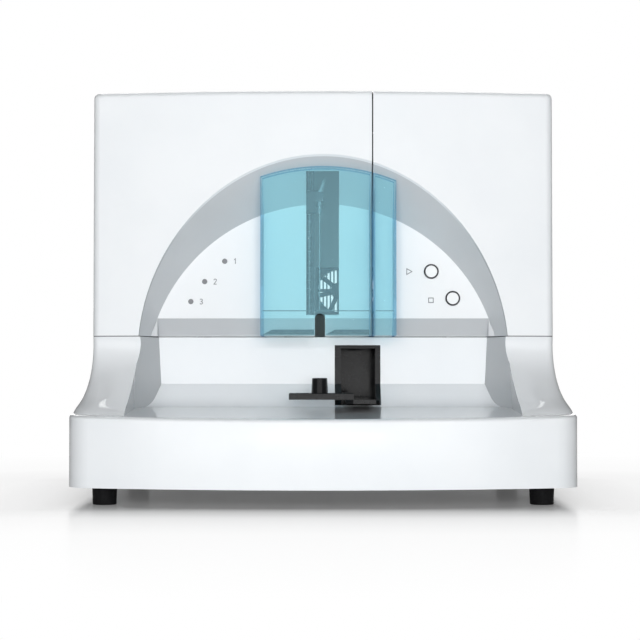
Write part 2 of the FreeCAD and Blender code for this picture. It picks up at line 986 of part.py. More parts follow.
def rubber_feet():
    """Four rubber feet, each with a hole for its stud."""
    feet = []
    for x, y in foot_places:
        body = taper(foot_bottom_radius, foot_top_radius, V(x, y, 0), V(x, y, base_bottom))
        body = round_edges(body, foot_edge_round, lambda point: point.z < foot_edge_round)
        feet.append(body.cut(rod(stud_radius, V(x, y, foot_floor),
                                 V(x, y, base_bottom + overrun))))
    return Part.makeCompound(feet)


def foot_studs():
    """Four studs with their nuts on the base plate."""
    studs = []
    for x, y in foot_places:
        stud = rod(stud_radius, V(x, y, foot_floor), V(x, y, base_bottom + stud_above))
        corners = []
        for step in range(6):
            angle = math.radians(60 * step)
            corners.append(V(x + nut_radius * math.cos(angle), y + nut_radius * math.sin(angle),
                             base_plate_top))
        nut = Part.Face(Part.makePolygon(corners + [corners[0]])).extrude(V(0, 0, nut_height))
        studs.append(joined([stud, nut]))
    return Part.makeCompound(studs)


port_front = wall_y - port_frame_proud
port_rear = port_front + port_depth


def port_liner():
    """Black frame and tunnel behind the opening in the recess wall."""
    frame = box_between(port_left, port_right, port_front, port_front + port_frame_depth,
                        port_bottom, port_top)
    tunnel = box_between(port_left, port_right, port_front, port_rear, port_bottom, port_top)
    flange_y = wall_y + shell_wall
    flange = box_between(port_left - port_flange, port_right + port_flange,
                         flange_y, flange_y + port_wall, crease_height, port_top + port_flange / 2)
    step = box_between(port_left, port_right, ramp_foot_y, port_front, port_bottom, crease_height)
    above_ramp = recess(0)
    above_ramp.translate(V(0, -port_frame_proud, 0))
    body = joined([tunnel, flange, frame, step.cut(above_ramp)])
    hollow = box_between(port_left + port_wall, port_right - port_wall,
                         port_front + port_frame_depth, port_rear - port_back_wall,
                         port_bottom + port_sill, port_top - port_wall)
    mouth = box_between(port_left + port_jamb_left, port_right - port_jamb_right,
                        port_front - overrun, port_front + port_frame_depth + fit_gap,
                        port_bottom + port_sill, port_top - port_head)
    body = body.cut(hollow).cut(mouth)
    for x, z in slide_rod_places():
        body = body.cut(rod(slide_rod_radius, V(x, port_rear - port_back_wall - fit_gap, z),
                            V(x, port_rear + overrun, z)))
    return body


def slide_rod_places():
    """Centres of the two rods, seen from the front."""
    z = carriage_bottom + carriage_thick / 2
    return ((carriage_left + slide_rod_inset, z), (carriage_right - slide_rod_inset, z))


def slide_rods():
    """Rods held in the back wall of the port liner."""
    rods = []
    for x, z in slide_rod_places():
        rods.append(rod(slide_rod_radius, V(x, slide_rod_front, z), V(x, port_rear, z)))
    return Part.makeCompound(rods)


def sample_carriage():
    """Sliding bar that carries the platform out of the port."""
    top = carriage_bottom + carriage_thick
    corner = carriage_left + carriage_chamfer
    corners = [
        V(corner, carriage_front, carriage_bottom),
        V(carriage_right, carriage_front, carriage_bottom),
        V(carriage_right, carriage_rear, carriage_bottom),
        V(carriage_left, carriage_rear, carriage_bottom),
        V(carriage_left, carriage_front + carriage_chamfer, carriage_bottom),
    ]
    bar = Part.Face(Part.makePolygon(corners + [corners[0]])).extrude(V(0, 0, top - carriage_bottom))
    for x, z in slide_rod_places():
        bar = bar.cut(rod(slide_rod_radius + running_gap,
                          V(x, slide_rod_front - slide_travel - carriage_thick, z),
                          V(x, carriage_rear + overrun, z)))
    return bar


platform_bottom = carriage_bottom + carriage_thick
platform_top = platform_bottom + platform_thick


def sample_platform():
    """Flat platform in front of the wall."""
    slab = box_between(platform_left, platform_right, platform_front, platform_rear,
                       platform_bottom, platform_top)
    return round_edges(slab, platform_edge_round,
                       lambda point: point.z > platform_top - fit_gap)


def tube_holder():
    """Round socket for one sample tube."""
    top = platform_top + holder_height
    body = taper(holder_bottom_radius, holder_top_radius,
                 V(holder_x, holder_y, platform_top), V(holder_x, holder_y, top))
    body = round_edges(body, platform_edge_round, lambda point: point.z > top - fit_gap)
    return body.cut(rod(tube_bore_radius, V(holder_x, holder_y, platform_top + holder_floor),
                        V(holder_x, holder_y, top + overrun)))


def side_frames():
    """Two upright plates between the base plate and the top of the hoods."""
    plates = []
    for side in (-1, 1):
        outer = side * frame_half
        inner = side * (frame_half - frame_thick)
        plates.append(box_between(min(outer, inner), max(outer, inner), frame_front,
                                  rear_panel_y, base_plate_top, frame_top))
    return Part.makeCompound(plates)


shelf = module_plate_z + module_plate_thick


def module_plate():
    """Shelf for the modules, with two runners for the waste strip box."""
    inner = frame_half - frame_thick
    parts = [box_between(-inner, inner, frame_front, rear_panel_y, module_plate_z, shelf)]
    for x in (box_left, box_right - runner_width):
        parts.append(box_between(x, x + runner_width, box_front - box_travel, box_rear,
                                 shelf, shelf + runner_height))
    return joined(parts)


def grille_cut():
    """Upright slots within a circle in front of the fan."""
    slots = []
    for index in range(grille_count):
        x = (index - (grille_count - 1) / 2) * grille_pitch
        half = math.sqrt(grille_radius ** 2 - x ** 2)
        slots.append(box_between(fan_x + x - grille_slot / 2, fan_x + x + grille_slot / 2,
                                 rear_panel_y - overrun, rear_panel_y + overrun,
                                 fan_z - half, fan_z + half))
    return slots[0].fuse(slots[1:])


def screw_places():
    """Screws round the rim of the rear panel."""
    places = []
    low = rear_shelf + screw_inset
    high = rear_panel_top - screw_inset
    for z in (low, (low + high) / 2, high):
        for side in (-1, 1):
            places.append((side * (rear_panel_half - screw_inset), z))
    for side in (-1, 1):
        places.append((side * rear_panel_half / 3, high))
        places.append((side * rear_panel_half / 3, low))
    return places


def rear_vents():
    """Two fields of cooling slots high in the rear panel."""
    slots = []
    for side in (-1, 1):
        left = side * rear_vent_x - rear_vent_width / 2
        for index in range(rear_vent_count):
            top = rear_panel_top - rear_vent_below - index * rear_vent_pitch
            slots.append(box_between(left, left + rear_vent_width,
                                     rear_panel_y - overrun, rear_panel_y + overrun,
                                     top - rear_vent_height, top))
    return Part.makeCompound(slots)


def fluid_port_places():
    """Middle of each fluid port, along the rear panel."""
    return [port_strip_x + fluid_port_spacing + index * fluid_port_pitch for index in range(3)]


def rear_port_cuts():
    """Holes of the rear panel for the port strip and the fluid ports."""
    cuts = [box_between(port_strip_x - port_strip_width / 2, port_strip_x + port_strip_width / 2,
                        rear_panel_y - overrun, rear_panel_y + overrun,
                        inlet_z - port_strip_height / 2, inlet_z + port_strip_height / 2)]
    for x in fluid_port_places():
        cuts.append(rod(fluid_port_radius, V(x, rear_panel_y - overrun, inlet_z),
                        V(x, rear_panel_y + overrun, inlet_z)))
    return Part.makeCompound(cuts)


def port_well(x, width, height):
    """Opening of one data port in the strip."""
    face = rear_panel_y + rear_panel_thick + inlet_flange_thick
    return box_between(x - width / 2, x + width / 2, face - port_well_depth, face + overrun,
                       inlet_z - height / 2, inlet_z + height / 2)


def port_strip():
    """Strip of three data ports, with the tongue of the flat one."""
    back = rear_panel_y + rear_panel_thick
    face = back + inlet_flange_thick
    half = port_strip_width / 2
    rise = port_strip_height / 2
    body = box_between(port_strip_x - half, port_strip_x + half, back - port_strip_depth, back,
                       inlet_z - rise, inlet_z + rise)
    lip = box_between(port_strip_x - half - inlet_flange, port_strip_x + half + inlet_flange,
                      back, face, inlet_z - rise - inlet_flange, inlet_z + rise + inlet_flange)
    strip = joined([body, lip])
    flat_x = port_strip_x + port_well_spacing
    strip = strip.cut(port_well(port_strip_x - port_well_spacing, network_port_width,
                                network_port_height))
    strip = strip.cut(port_well(port_strip_x, square_port_width, square_port_height))
    strip = strip.cut(port_well(flat_x, flat_port_width, flat_port_height))
    tongue = box_between(flat_x - tongue_width / 2, flat_x + tongue_width / 2,
                         face - port_well_depth, face - port_well_depth + tongue_length,
                         inlet_z - tongue_thick / 2, inlet_z + tongue_thick / 2)
    return joined([strip, tongue])


def fluid_port(x):
    """Bulkhead socket for one hose, with its hexagonal nut on the panel."""
    back = rear_panel_y + rear_panel_thick
    body = rod(fluid_port_radius, V(x, back - fluid_port_depth, inlet_z), V(x, back, inlet_z))
    corners = []
    for step in range(6):
        angle = math.radians(60 * step)
        corners.append(V(x + fluid_nut_radius * math.cos(angle), back,
                         inlet_z + fluid_nut_radius * math.sin(angle)))
    nut = Part.Face(Part.makePolygon(corners + [corners[0]])).extrude(V(0, fluid_nut_thick, 0))
    bore = rod(fluid_port_bore, V(x, back - overrun, inlet_z), V(x, back + overrun, inlet_z))
    return joined([body, nut]).cut(bore)


def rear_ports():
    """Data ports and fluid ports of the rear panel."""
    return Part.makeCompound([port_strip()] + [fluid_port(x) for x in fluid_port_places()])


def rear_panel():
    """Rear wall with a flange that runs forward at its sides and top."""
    back = rear_panel_y + rear_panel_thick
    floor = rear_shelf - shell_wall
    wall = box_between(-rear_panel_half, rear_panel_half, rear_panel_y, back,
                       rear_shelf, rear_wall_top)
    foot_strip = box_between(-rear_panel_half, rear_panel_half, rear_panel_y,
                             body_depth / 2 - shell_wall, floor, rear_shelf)
    front = rear_panel_y - rear_flange
    rim = [wall, foot_strip]
    for side in (-1, 1):
        outer = side * rear_panel_half
        inner = side * (rear_panel_half - rear_flange_thick)
        rim.append(box_between(min(outer, inner), max(outer, inner), front, rear_panel_y,
                               seam_height + seam_gap, rear_panel_top))
    rim.append(box_between(-rear_panel_half, rear_panel_half, front, rear_panel_y,
                           rear_panel_top - rear_flange_thick, rear_panel_top))
    panel = joined(rim).cut(grille_cut()).cut(rear_vents()).cut(rear_port_cuts())
    panel = panel.cut(box_between(inlet_x - inlet_width / 2, inlet_x + inlet_width / 2,
                                  rear_panel_y - overrun, back + overrun,
                                  inlet_z - inlet_height / 2, inlet_z + inlet_height / 2))
    for x, z in screw_places():
        panel = panel.cut(rod(screw_shank_radius, V(x, rear_panel_y - fit_gap, z),
                              V(x, back + overrun, z)))
    return panel


def panel_screws():
    """Pan head screws in the rear panel."""
    screws = []
    back = rear_panel_y + rear_panel_thick
    for x, z in screw_places():
        head = rod(screw_radius, V(x, back, z), V(x, back + screw_head, z))
        head = round_edges(head, screw_head / 2,
                           lambda point: point.y > back + screw_head / 2)
        shank = rod(screw_shank_radius, V(x, rear_panel_y, z), V(x, back + screw_head / 2, z))
        screws.append(joined([head, shank]))
    return Part.makeCompound(screws)


def hinge_brackets():
    """Four brackets on the rear panel's top flange."""
    brackets = []
    floor = rear_panel_top
    for x in hinge_places:
        parts = []
        reach = hinge_ear_width / 2 + hinge_side_gap
        far = reach + hinge_cheek
        parts.append(box_between(x - far, x + far, pivot_y - hinge_radius,
                                 pivot_y + hinge_radius, floor, floor + hinge_base_thick))
        for side in (-1, 1):
            near_x = x + side * reach
            far_x = x + side * far
            parts.append(rod(hinge_radius, V(min(near_x, far_x), pivot_y, pivot_z),
                             V(max(near_x, far_x), pivot_y, pivot_z)))
            parts.append(box_between(min(near_x, far_x), max(near_x, far_x),
                                     pivot_y - hinge_radius, pivot_y + hinge_radius,
                                     floor, pivot_z))
        bore = rod(hinge_pin_radius, V(x - far - overrun, pivot_y, pivot_z),
                   V(x + far + overrun, pivot_y, pivot_z))
        brackets.append(joined(parts).cut(bore))
    return Part.makeCompound(brackets)


def hinge_pins():
    """Pins pressed into the cheeks of the brackets."""
    pins = []
    far = hinge_ear_width / 2 + hinge_side_gap + hinge_cheek
    for x in hinge_places:
        pins.append(rod(hinge_pin_radius, V(x - far, pivot_y, pivot_z),
                        V(x + far, pivot_y, pivot_z)))
    return Part.makeCompound(pins)


def fan_frame():
    """Square fan frame with struts and a motor cup."""
    rear = rear_panel_y
    front = rear - fan_frame_depth
    body = box_between(fan_x - fan_frame_half, fan_x + fan_frame_half, front, rear,
                       fan_z - fan_frame_half, fan_z + fan_frame_half)
    body = body.cut(rod(fan_radius, V(fan_x, front - overrun, fan_z),
                        V(fan_x, rear + overrun, fan_z)))
    cup = rod(fan_motor_radius, V(fan_x, front, fan_z), V(fan_x, front + fan_motor_depth, fan_z))
    reach = fan_radius + fan_tip_gap
    cross = fan_strut / 2
    parts = [body, cup]
    parts.append(box_between(fan_x - reach, fan_x + reach, front, front + fan_strut / 2,
                             fan_z - cross, fan_z + cross))
    parts.append(box_between(fan_x - cross, fan_x + cross, front, front + fan_strut / 2,
                             fan_z - reach, fan_z + reach))
    bore = rod(fan_shaft_radius + running_gap, V(fan_x, front - overrun, fan_z),
               V(fan_x, rear, fan_z))
    return joined(parts).cut(bore)


def fan_rotor():
    """Hub, shaft and leaning blades."""
    front = rear_panel_y - fan_frame_depth
    hub_front = front + fan_motor_depth + fit_gap
    hub_rear = rear_panel_y - fan_tip_gap
    hub = rod(fan_hub_radius, V(fan_x, hub_front, fan_z), V(fan_x, hub_rear, fan_z))
    shaft = rod(fan_shaft_radius, V(fan_x, front, fan_z), V(fan_x, hub_rear, fan_z))
    parts = [hub, shaft]
    middle = (hub_front + hub_rear) / 2
    span = (hub_rear - hub_front) * math.cos(math.radians(fan_blade_lean)) * 0.9
    for index in range(fan_blade_count):
        blade = box_between(fan_x - fan_blade_thick / 2, fan_x + fan_blade_thick / 2,
                            middle - span / 2, middle + span / 2,
                            fan_z + fan_hub_radius / 2, fan_z + fan_radius)
        blade.rotate(V(fan_x, middle, fan_z), V(0, 0, 1), fan_blade_lean)
        blade.rotate(V(fan_x, middle, fan_z), V(0, 1, 0), 360 * index / fan_blade_count)
        parts.append(blade)
    rotor = joined(parts)
    sweep = rod(fan_radius - fan_tip_gap, V(fan_x, front, fan_z), V(fan_x, hub_rear, fan_z))
    return rotor.common(sweep).removeSplitter()


def power_inlet():
    """Mains socket and switch frame in one body."""
    back = rear_panel_y + rear_panel_thick
    body = box_between(inlet_x - inlet_width / 2, inlet_x + inlet_width / 2,
                       back - inlet_depth, back,
                       inlet_z - inlet_height / 2, inlet_z + inlet_height / 2)
    lip = box_between(inlet_x - inlet_width / 2 - inlet_flange,
                      inlet_x + inlet_width / 2 + inlet_flange,
                      back, back + inlet_flange_thick,
                      inlet_z - inlet_height / 2 - inlet_flange,
                      inlet_z + inlet_height / 2 + inlet_flange)
    face = back + inlet_flange_thick
    socket_z = inlet_z - socket_below
    well = box_between(inlet_x - socket_width / 2, inlet_x + socket_width / 2,
                       face - socket_depth, face + overrun,
                       socket_z - socket_height / 2, socket_z + socket_height / 2)
    parts = [joined([body, lip]).cut(well)]
    for index in (-1, 0, 1):
        x = inlet_x + index * pin_pitch
        parts.append(box_between(x - pin_thick / 2, x + pin_thick / 2,
                                 face - socket_depth, face - socket_depth + pin_length,
                                 socket_z - pin_width / 2, socket_z + pin_width / 2))
    body = joined(parts)
    room = rocker_radius + rocker_room
    half = rocker_width / 2 + rocker_side_gap
    switch_z = inlet_z + rocker_above
    window = box_between(inlet_x - half, inlet_x + half,
                         rocker_axis_y() - room, face + overrun,
                         switch_z - room, switch_z + room)
    body = body.cut(window)
    pin = rod(rocker_pin_radius, V(inlet_x - half - fit_gap, rocker_axis_y(), switch_z),
              V(inlet_x + half + fit_gap, rocker_axis_y(), switch_z))
    return joined([body, pin])


def rocker_axis_y():
    """Depth of the rocker's pin."""
    return rear_panel_y + rear_panel_thick + inlet_flange_thick - rocker_radius


def power_rocker():
    """Rocker with a shallow vee across its face."""
    z = inlet_z + rocker_above
    y = rocker_axis_y()
    left = inlet_x - rocker_width / 2
    right = inlet_x + rocker_width / 2
    drum = rod(rocker_radius, V(left, y, z), V(right, y, z))
    far = rocker_radius + overrun
    vee = side_profile([
        (y + rocker_radius - rocker_cut, z),
        (y + rocker_radius + rocker_cut, z + far),
        (y + far + far, z + far),
        (y + far + far, z - far),
        (y + rocker_radius + rocker_cut, z - far),
    ], left - overrun, right + overrun)
    bore = rod(rocker_pin_radius + running_gap, V(left - overrun, y, z),
               V(right + overrun, y, z))
    rocker = drum.cut(vee).cut(bore)
    rocker.rotate(V(left, y, z), V(1, 0, 0), rocker_tilt)
    return rocker



def tower_plate():
    """Upright plate of the probe tower with a foot and a motor bracket."""
    back = tower_y + tower_thick
    plate = box_between(tower_left, tower_right, tower_y, back, shelf, tower_top)
    foot_block = box_between(tower_left, tower_right, tower_y, back + tower_foot,
                             shelf, shelf + tower_thick)
    bracket = box_between(tower_left, carriage_block_right + arm_lap, bracket_front, tower_y,
                          bracket_z, bracket_z + bracket_thick)
    bearing = box_between(screw_x - bearing_half, screw_x + bearing_half, screw_y - bearing_half,
                          tower_y, shelf, shelf + bearing_height)
    body = joined([plate, foot_block, bracket, bearing])
    bore = rod(lead_screw_radius + running_gap, V(screw_x, screw_y, lead_screw_foot),
               V(screw_x, screw_y, tower_top))
    return body.cut(bore)


def guide_rail():
    """Linear rail on the tower."""
    half = rail_width / 2
    waist = half * 0.7
    middle = tower_y - rail_depth / 2
    points = [
        (rail_x - half, tower_y), (rail_x - half, middle), (rail_x - waist, middle - rail_depth / 8),
        (rail_x - half, tower_y - rail_depth), (rail_x + half, tower_y - rail_depth),
        (rail_x + waist, middle - rail_depth / 8), (rail_x + half, middle), (rail_x + half, tower_y),
    ]
    corners = [V(x, y, rail_bottom) for x, y in points]
    face = Part.Face(Part.makePolygon(corners + [corners[0]]))
    return face.extrude(V(0, 0, rail_top - rail_bottom))


def lead_screw():
    """Screw from the foot bearing up into the motor."""
    return rod(lead_screw_radius, V(screw_x, screw_y, lead_screw_foot),
               V(screw_x, screw_y, bracket_z + bracket_thick + screw_into_motor))


def stepper_motor():
    """Square motor with cut corners on the tower's bracket."""
    floor = bracket_z + bracket_thick
    near = motor_half - motor_chamfer
    corners = []
    for side_x, side_y in ((1, 1), (-1, 1), (-1, -1), (1, -1)):
        first = V(screw_x + side_x * motor_half, screw_y + side_y * near, floor)
        second = V(screw_x + side_x * near, screw_y + side_y * motor_half, floor)
        corners += [first, second] if side_x * side_y > 0 else [second, first]
    body = Part.Face(Part.makePolygon(corners + [corners[0]])).extrude(V(0, 0, motor_height))
    return body.cut(rod(lead_screw_radius + running_gap, V(screw_x, screw_y, floor - overrun),
                        V(screw_x, screw_y, floor + screw_into_motor + fit_gap)))


def probe_carriage():
    """Block on the rail and the screw."""
    block = box_between(carriage_block_left, carriage_block_right, carriage_block_front,
                        tower_y - rail_depth / 2, carriage_block_bottom, carriage_block_top)
    block = round_edges(block, carriage_block_round,
                        lambda point: point.y < carriage_block_front + fit_gap
                        and point.z > carriage_block_top - fit_gap)
    half = rail_width / 2 + fit_gap
    channel = box_between(rail_x - half, rail_x + half, tower_y - rail_depth - fit_gap,
                          tower_y, carriage_block_bottom - overrun, carriage_block_top + overrun)
    bore = rod(lead_screw_radius + running_gap, V(screw_x, screw_y, carriage_block_bottom - overrun),
               V(screw_x, screw_y, carriage_block_top + overrun))
    return block.cut(channel).cut(bore)


def probe_arm():
    """Slim arm that reaches forward through the panel slot."""
    left = probe_x - arm_width / 2
    right = probe_x + arm_width / 2
    arm = box_between(left, right, arm_front, carriage_block_front, arm_bottom, arm_top)
    tongue = box_between(carriage_block_right, right, carriage_block_front,
                         carriage_block_front + arm_lap * 3, arm_bottom, arm_top)
    arm = joined([arm, tongue])
    return arm.cut(rod(needle_sleeve_radius, V(probe_x, probe_y, arm_bottom - overrun),
                       V(probe_x, probe_y, arm_top + overrun)))


def probe_needle():
    """Sleeve and needle held in the arm."""
    sleeve = rod(needle_sleeve_radius, V(probe_x, probe_y, needle_sleeve_end),
                 V(probe_x, probe_y, arm_top))
    point = needle_tip + needle_radius * 3
    needle = rod(needle_radius, V(probe_x, probe_y, point), V(probe_x, probe_y, needle_sleeve_end))
    tip = taper(needle_radius / 3, needle_radius, V(probe_x, probe_y, needle_tip),
                V(probe_x, probe_y, point))
    return joined([sleeve, needle, tip])


def probe_hose():
    """Thin hose bent from the needle's top back to the carriage."""
    start = V(probe_x, probe_y, arm_top)
    middle = V((probe_x + hose_end_x) / 2, hose_mid_y, hose_mid_z)
    end = V(probe_x, hose_end_y, arm_top)
    path = Part.Wire([Part.Arc(start, middle, end).toShape()])
    tangent = path.Edges[0].tangentAt(path.Edges[0].FirstParameter)
    ring = Part.Wire([Part.Circle(start, tangent, hose_radius).toShape()])
    pipe = path.makePipeShell([ring], True, False)
    above = box_between(probe_x - overrun, probe_x + overrun, probe_y - overrun,
                        hose_end_y + overrun, arm_top, arm_top + overrun)
    return pipe.common(above)


def strip_hopper():
    """Open bin on side legs, with knuckle lugs at the rear for its lid."""
    outer = box_between(hopper_left, hopper_right, hopper_front, hopper_rear, shelf, hopper_top)
    bin_space = box_between(hopper_left + hopper_wall, hopper_right - hopper_wall,
                            hopper_front + hopper_wall, hopper_rear - hopper_wall,
                            hopper_floor, hopper_top + overrun)
    under = box_between(hopper_left + hopper_leg, hopper_right - hopper_leg,
                        hopper_front - overrun, hopper_rear + overrun,
                        shelf - overrun, hopper_floor - hopper_wall)
    body = outer.cut(bin_space).cut(under)
    y, z = lid_axis()
    parts = [body]
    for x in (hopper_left, hopper_right - hopper_leg):
        parts.append(box_between(x, x + hopper_leg, hopper_rear, y + lid_knuckle,
                                 z - lid_knuckle * 3, z))
        parts.append(rod(lid_knuckle, V(x, y, z), V(x + hopper_leg, y, z)))
    pin = rod(lid_pin_radius, V(hopper_left, y, z), V(hopper_right, y, z))
    return joined(parts + [pin])


def lid_axis():
    """Depth and height of the hopper lid's hinge line."""
    return (hopper_rear + lid_knuckle + fit_gap, hopper_top + lid_thick / 2)


def hopper_lid():
    """Flat lid with a front lip and a hinge barrel."""
    y, z = lid_axis()
    floor = hopper_top + fit_gap
    plate = box_between(hopper_left, hopper_right, hopper_front - lid_thick - fit_gap, y,
                        floor, floor + lid_thick)
    lip = box_between(hopper_left, hopper_right, hopper_front - lid_thick - fit_gap,
                      hopper_front - fit_gap, floor - lid_lip, floor)
    barrel = rod(lid_knuckle, V(hopper_left + hopper_leg + fit_gap, y, z),
                 V(hopper_right - hopper_leg - fit_gap, y, z))
    lid = joined([plate, lip, barrel])
    for x in (hopper_left, hopper_right - hopper_leg - fit_gap):
        lid = lid.cut(box_between(x - fit_gap, x + hopper_leg + fit_gap * 2,
                                  y - lid_knuckle - fit_gap, y + overrun,
                                  floor - overrun, floor + overrun))
    return lid.cut(rod(lid_pin_radius + running_gap, V(hopper_left - overrun, y, z),
                       V(hopper_right + overrun, y, z)))


def drum_cheeks():
    """Two plates that carry the strip drum."""
    cheeks = []
    for x in (hopper_left, hopper_right - cheek_thick):
        plate = box_between(x, x + cheek_thick, drum_y - cheek_half, drum_y + cheek_half,
                            shelf, drum_z)
        crown = rod(cheek_half, V(x, drum_y, drum_z), V(x + cheek_thick, drum_y, drum_z))
        bore = rod(drum_shaft_radius + running_gap, V(x - overrun, drum_y, drum_z),
                   V(x + overrun, drum_y, drum_z))
        cheeks.append(joined([plate, crown]).cut(bore))
    return Part.makeCompound(cheeks)


def strip_drum():
    """Grooved drum that takes single strips out of the hopper."""
    left = hopper_left + cheek_thick + drum_side_gap
    right = hopper_right - cheek_thick - drum_side_gap
    drum = rod(drum_radius, V(left, drum_y, drum_z), V(right, drum_y, drum_z))
    for index in range(drum_groove_count):
        groove = box_between(left - overrun, right + overrun, drum_y - drum_groove / 2,
                             drum_y + drum_groove / 2, drum_z + drum_radius - drum_groove / 2,
                             drum_z + drum_radius + overrun)
        groove.rotate(V(left, drum_y, drum_z), V(1, 0, 0), 360 * index / drum_groove_count)
        drum = drum.cut(groove)
    shaft = rod(drum_shaft_radius, V(hopper_left, drum_y, drum_z), V(hopper_right, drum_y, drum_z))
    return joined([drum, shaft])


def strip_bed():
    """Grooved bed on which the strips lie to be read."""
    bed = box_between(hopper_left, hopper_right, bed_front, bed_rear, shelf, bed_top)
    pitch = (bed_rear - bed_front) / bed_groove_count
    for index in range(bed_groove_count):
        y = bed_front + pitch * (index + 0.5)
        bed = bed.cut(box_between(hopper_left - overrun, hopper_right + overrun,
                                  y - bed_groove / 2, y + bed_groove / 2,
                                  bed_top - bed_groove_deep, bed_top + overrun))
    return bed


def reader_head():
    """Optical head bridging the strip bed."""
    left = hopper_left - reader_leg - fit_gap
    right = hopper_right + reader_leg + fit_gap
    head = box_between(left, right, reader_front, reader_rear, reader_bottom, reader_top)
    head = round_edges(head, reader_round, lambda point: point.z > reader_top - fit_gap)
    legs = [head]
    for x in (left, right - reader_leg):
        legs.append(box_between(x, x + reader_leg, reader_front, reader_rear,
                                shelf, reader_bottom + reader_round))
    return joined(legs)


def waste_strip_box():
    """Open box with a finger grip that slides on the runners."""
    floor = shelf + runner_height
    outer = box_between(box_left, box_right, box_front, box_rear, floor, box_top)
    inner = box_between(box_left + box_wall, box_right - box_wall, box_front + box_wall,
                        box_rear - box_wall, floor + box_wall, box_top + overrun)
    middle = (box_left + box_right) / 2
    grip_top = box_top - grip_below
    grip = box_between(middle - grip_width / 2, middle + grip_width / 2,
                       box_front - grip_depth, box_front, grip_top - grip_height, grip_top)
    return joined([outer.cut(inner), grip])


scope_x = (scope_left + scope_right) / 2


def microscope_stand():
    """Foot, column, arm and stage of the microscope."""
    half = scope_column / 2
    parts = [
        box_between(scope_left, scope_right, scope_front, scope_rear, shelf, shelf + scope_foot),
        box_between(scope_x - half, scope_x + half, scope_column_front, scope_rear - scope_foot,
                    shelf, scope_arm_top),
        box_between(scope_x - half, scope_x + half, scope_arm_front, scope_rear - scope_foot,
                    scope_arm_bottom, scope_arm_top),
        box_between(scope_x - stage_half, scope_x + stage_half, scope_front, scope_column_front,
                    stage_bottom, stage_top),
    ]
    return joined(parts)


def objective_lens():
    """Objective under the arm."""
    barrel = rod(lens_radius, V(scope_x, lens_y, lens_taper_top),
                 V(scope_x, lens_y, scope_arm_bottom))
    tip = taper(lens_tip_radius, lens_radius, V(scope_x, lens_y, lens_bottom),
                V(scope_x, lens_y, lens_taper_top))
    return joined([barrel, tip])


def camera_head():
    """Camera on the arm."""
    body = box_between(scope_x - camera_half, scope_x + camera_half, lens_y - camera_half,
                       lens_y + camera_half, scope_arm_top, camera_top)
    return round_edges(body, camera_round, lambda point: point.z > scope_arm_top + fit_gap)


def flow_cell():
    """Glass cell on the stage with a channel through it."""
    cell = box_between(scope_x - flow_half_width, scope_x + flow_half_width,
                       lens_y - flow_half_depth, lens_y + flow_half_depth,
                       stage_top, stage_top + flow_height)
    z = stage_top + flow_height / 2
    return cell.cut(rod(flow_bore_radius, V(scope_x - flow_half_width - overrun, lens_y, z),
                        V(scope_x + flow_half_width + overrun, lens_y, z)))


def lamp_house():
    """Round lamp under the stage."""
    return rod(lamp_house_radius, V(scope_x, lens_y, lamp_house_bottom),
               V(scope_x, lens_y, stage_bottom))


pump_x = (pump_left + pump_right) / 2


def syringe_pump():
    """Pump body with two lugs that hold the barrel."""
    body = box_between(pump_left, pump_right, pump_front, pump_rear, shelf, pump_top)
    body = round_edges(body, pump_round, lambda point: point.z > pump_top - fit_gap)
    upper = box_between(pump_x - lug_half, pump_x + lug_half, lug_front, pump_front,
                        barrel_top, barrel_top + lug_height)
    lower = box_between(pump_x - lug_half, pump_x + lug_half, lug_front, pump_front,
                        barrel_bottom, barrel_bottom + lug_height)
    body = joined([body, upper, lower])
    return body.cut(rod(barrel_radius, V(pump_x, barrel_y, barrel_bottom - overrun),
                        V(pump_x, barrel_y, barrel_top)))


def syringe_barrel():
    """Glass barrel, closed at its top."""
    barrel = rod(barrel_radius, V(pump_x, barrel_y, barrel_bottom), V(pump_x, barrel_y, barrel_top))
    return barrel.cut(rod(barrel_bore, V(pump_x, barrel_y, barrel_bottom - overrun),
                          V(pump_x, barrel_y, barrel_top - barrel_cap)))


def syringe_plunger():
    """Piston, rod and drive knob."""
    piston = rod(barrel_bore - running_gap, V(pump_x, barrel_y, piston_top - piston_height),
                 V(pump_x, barrel_y, piston_top))
    stem = rod(piston_rod_radius, V(pump_x, barrel_y, knob_bottom),
               V(pump_x, barrel_y, piston_top))
    knob = rod(knob_radius, V(pump_x, barrel_y, knob_bottom),
               V(pump_x, barrel_y, knob_bottom + knob_height))
    return joined([piston, stem, knob])


def power_supply():
    """Metal case with cooling slots in its top."""
    top = base_plate_top + supply_height
    case = box_between(supply_left, supply_right, supply_front, supply_rear, base_plate_top, top)
    middle = (supply_front + supply_rear) / 2
    for index in range(supply_slot_count):
        y = middle + (index - (supply_slot_count - 1) / 2) * supply_slot_pitch
        case = case.cut(box_between(supply_left + supply_slot_pitch, supply_right - supply_slot_pitch,
                                    y - supply_slot / 2, y + supply_slot / 2,
                                    top - supply_slot_deep, top + overrun))
    return case


def standoff_places():
    """Corners of the board."""
    places = []
    for x in (board_left + board_inset, board_right - board_inset):
        for y in (board_front + board_inset, board_rear - board_inset):
            places.append((x, y))
    return places


def main_board():
    """Circuit board with chips and plugs."""
    floor = base_plate_top + board_gap
    top = floor + board_thick
    parts = [box_between(board_left, board_right, board_front, board_rear, floor, top)]
    middle_x = (board_left + board_right) / 2
    middle_y = (board_front + board_rear) / 2
    for column in (-1, 1):
        for row in (-1, 0, 1):
            x = middle_x + column * chip_pitch / 2
            y = middle_y + row * chip_pitch
            parts.append(box_between(x - chip_size / 2, x + chip_size / 2, y - chip_size / 2,
                                     y + chip_size / 2, top, top + chip_height))
    parts.append(box_between(middle_x - plug_length / 2, middle_x + plug_length / 2, board_front,
                             board_front + plug_depth, top, top + plug_height))
    return joined(parts)


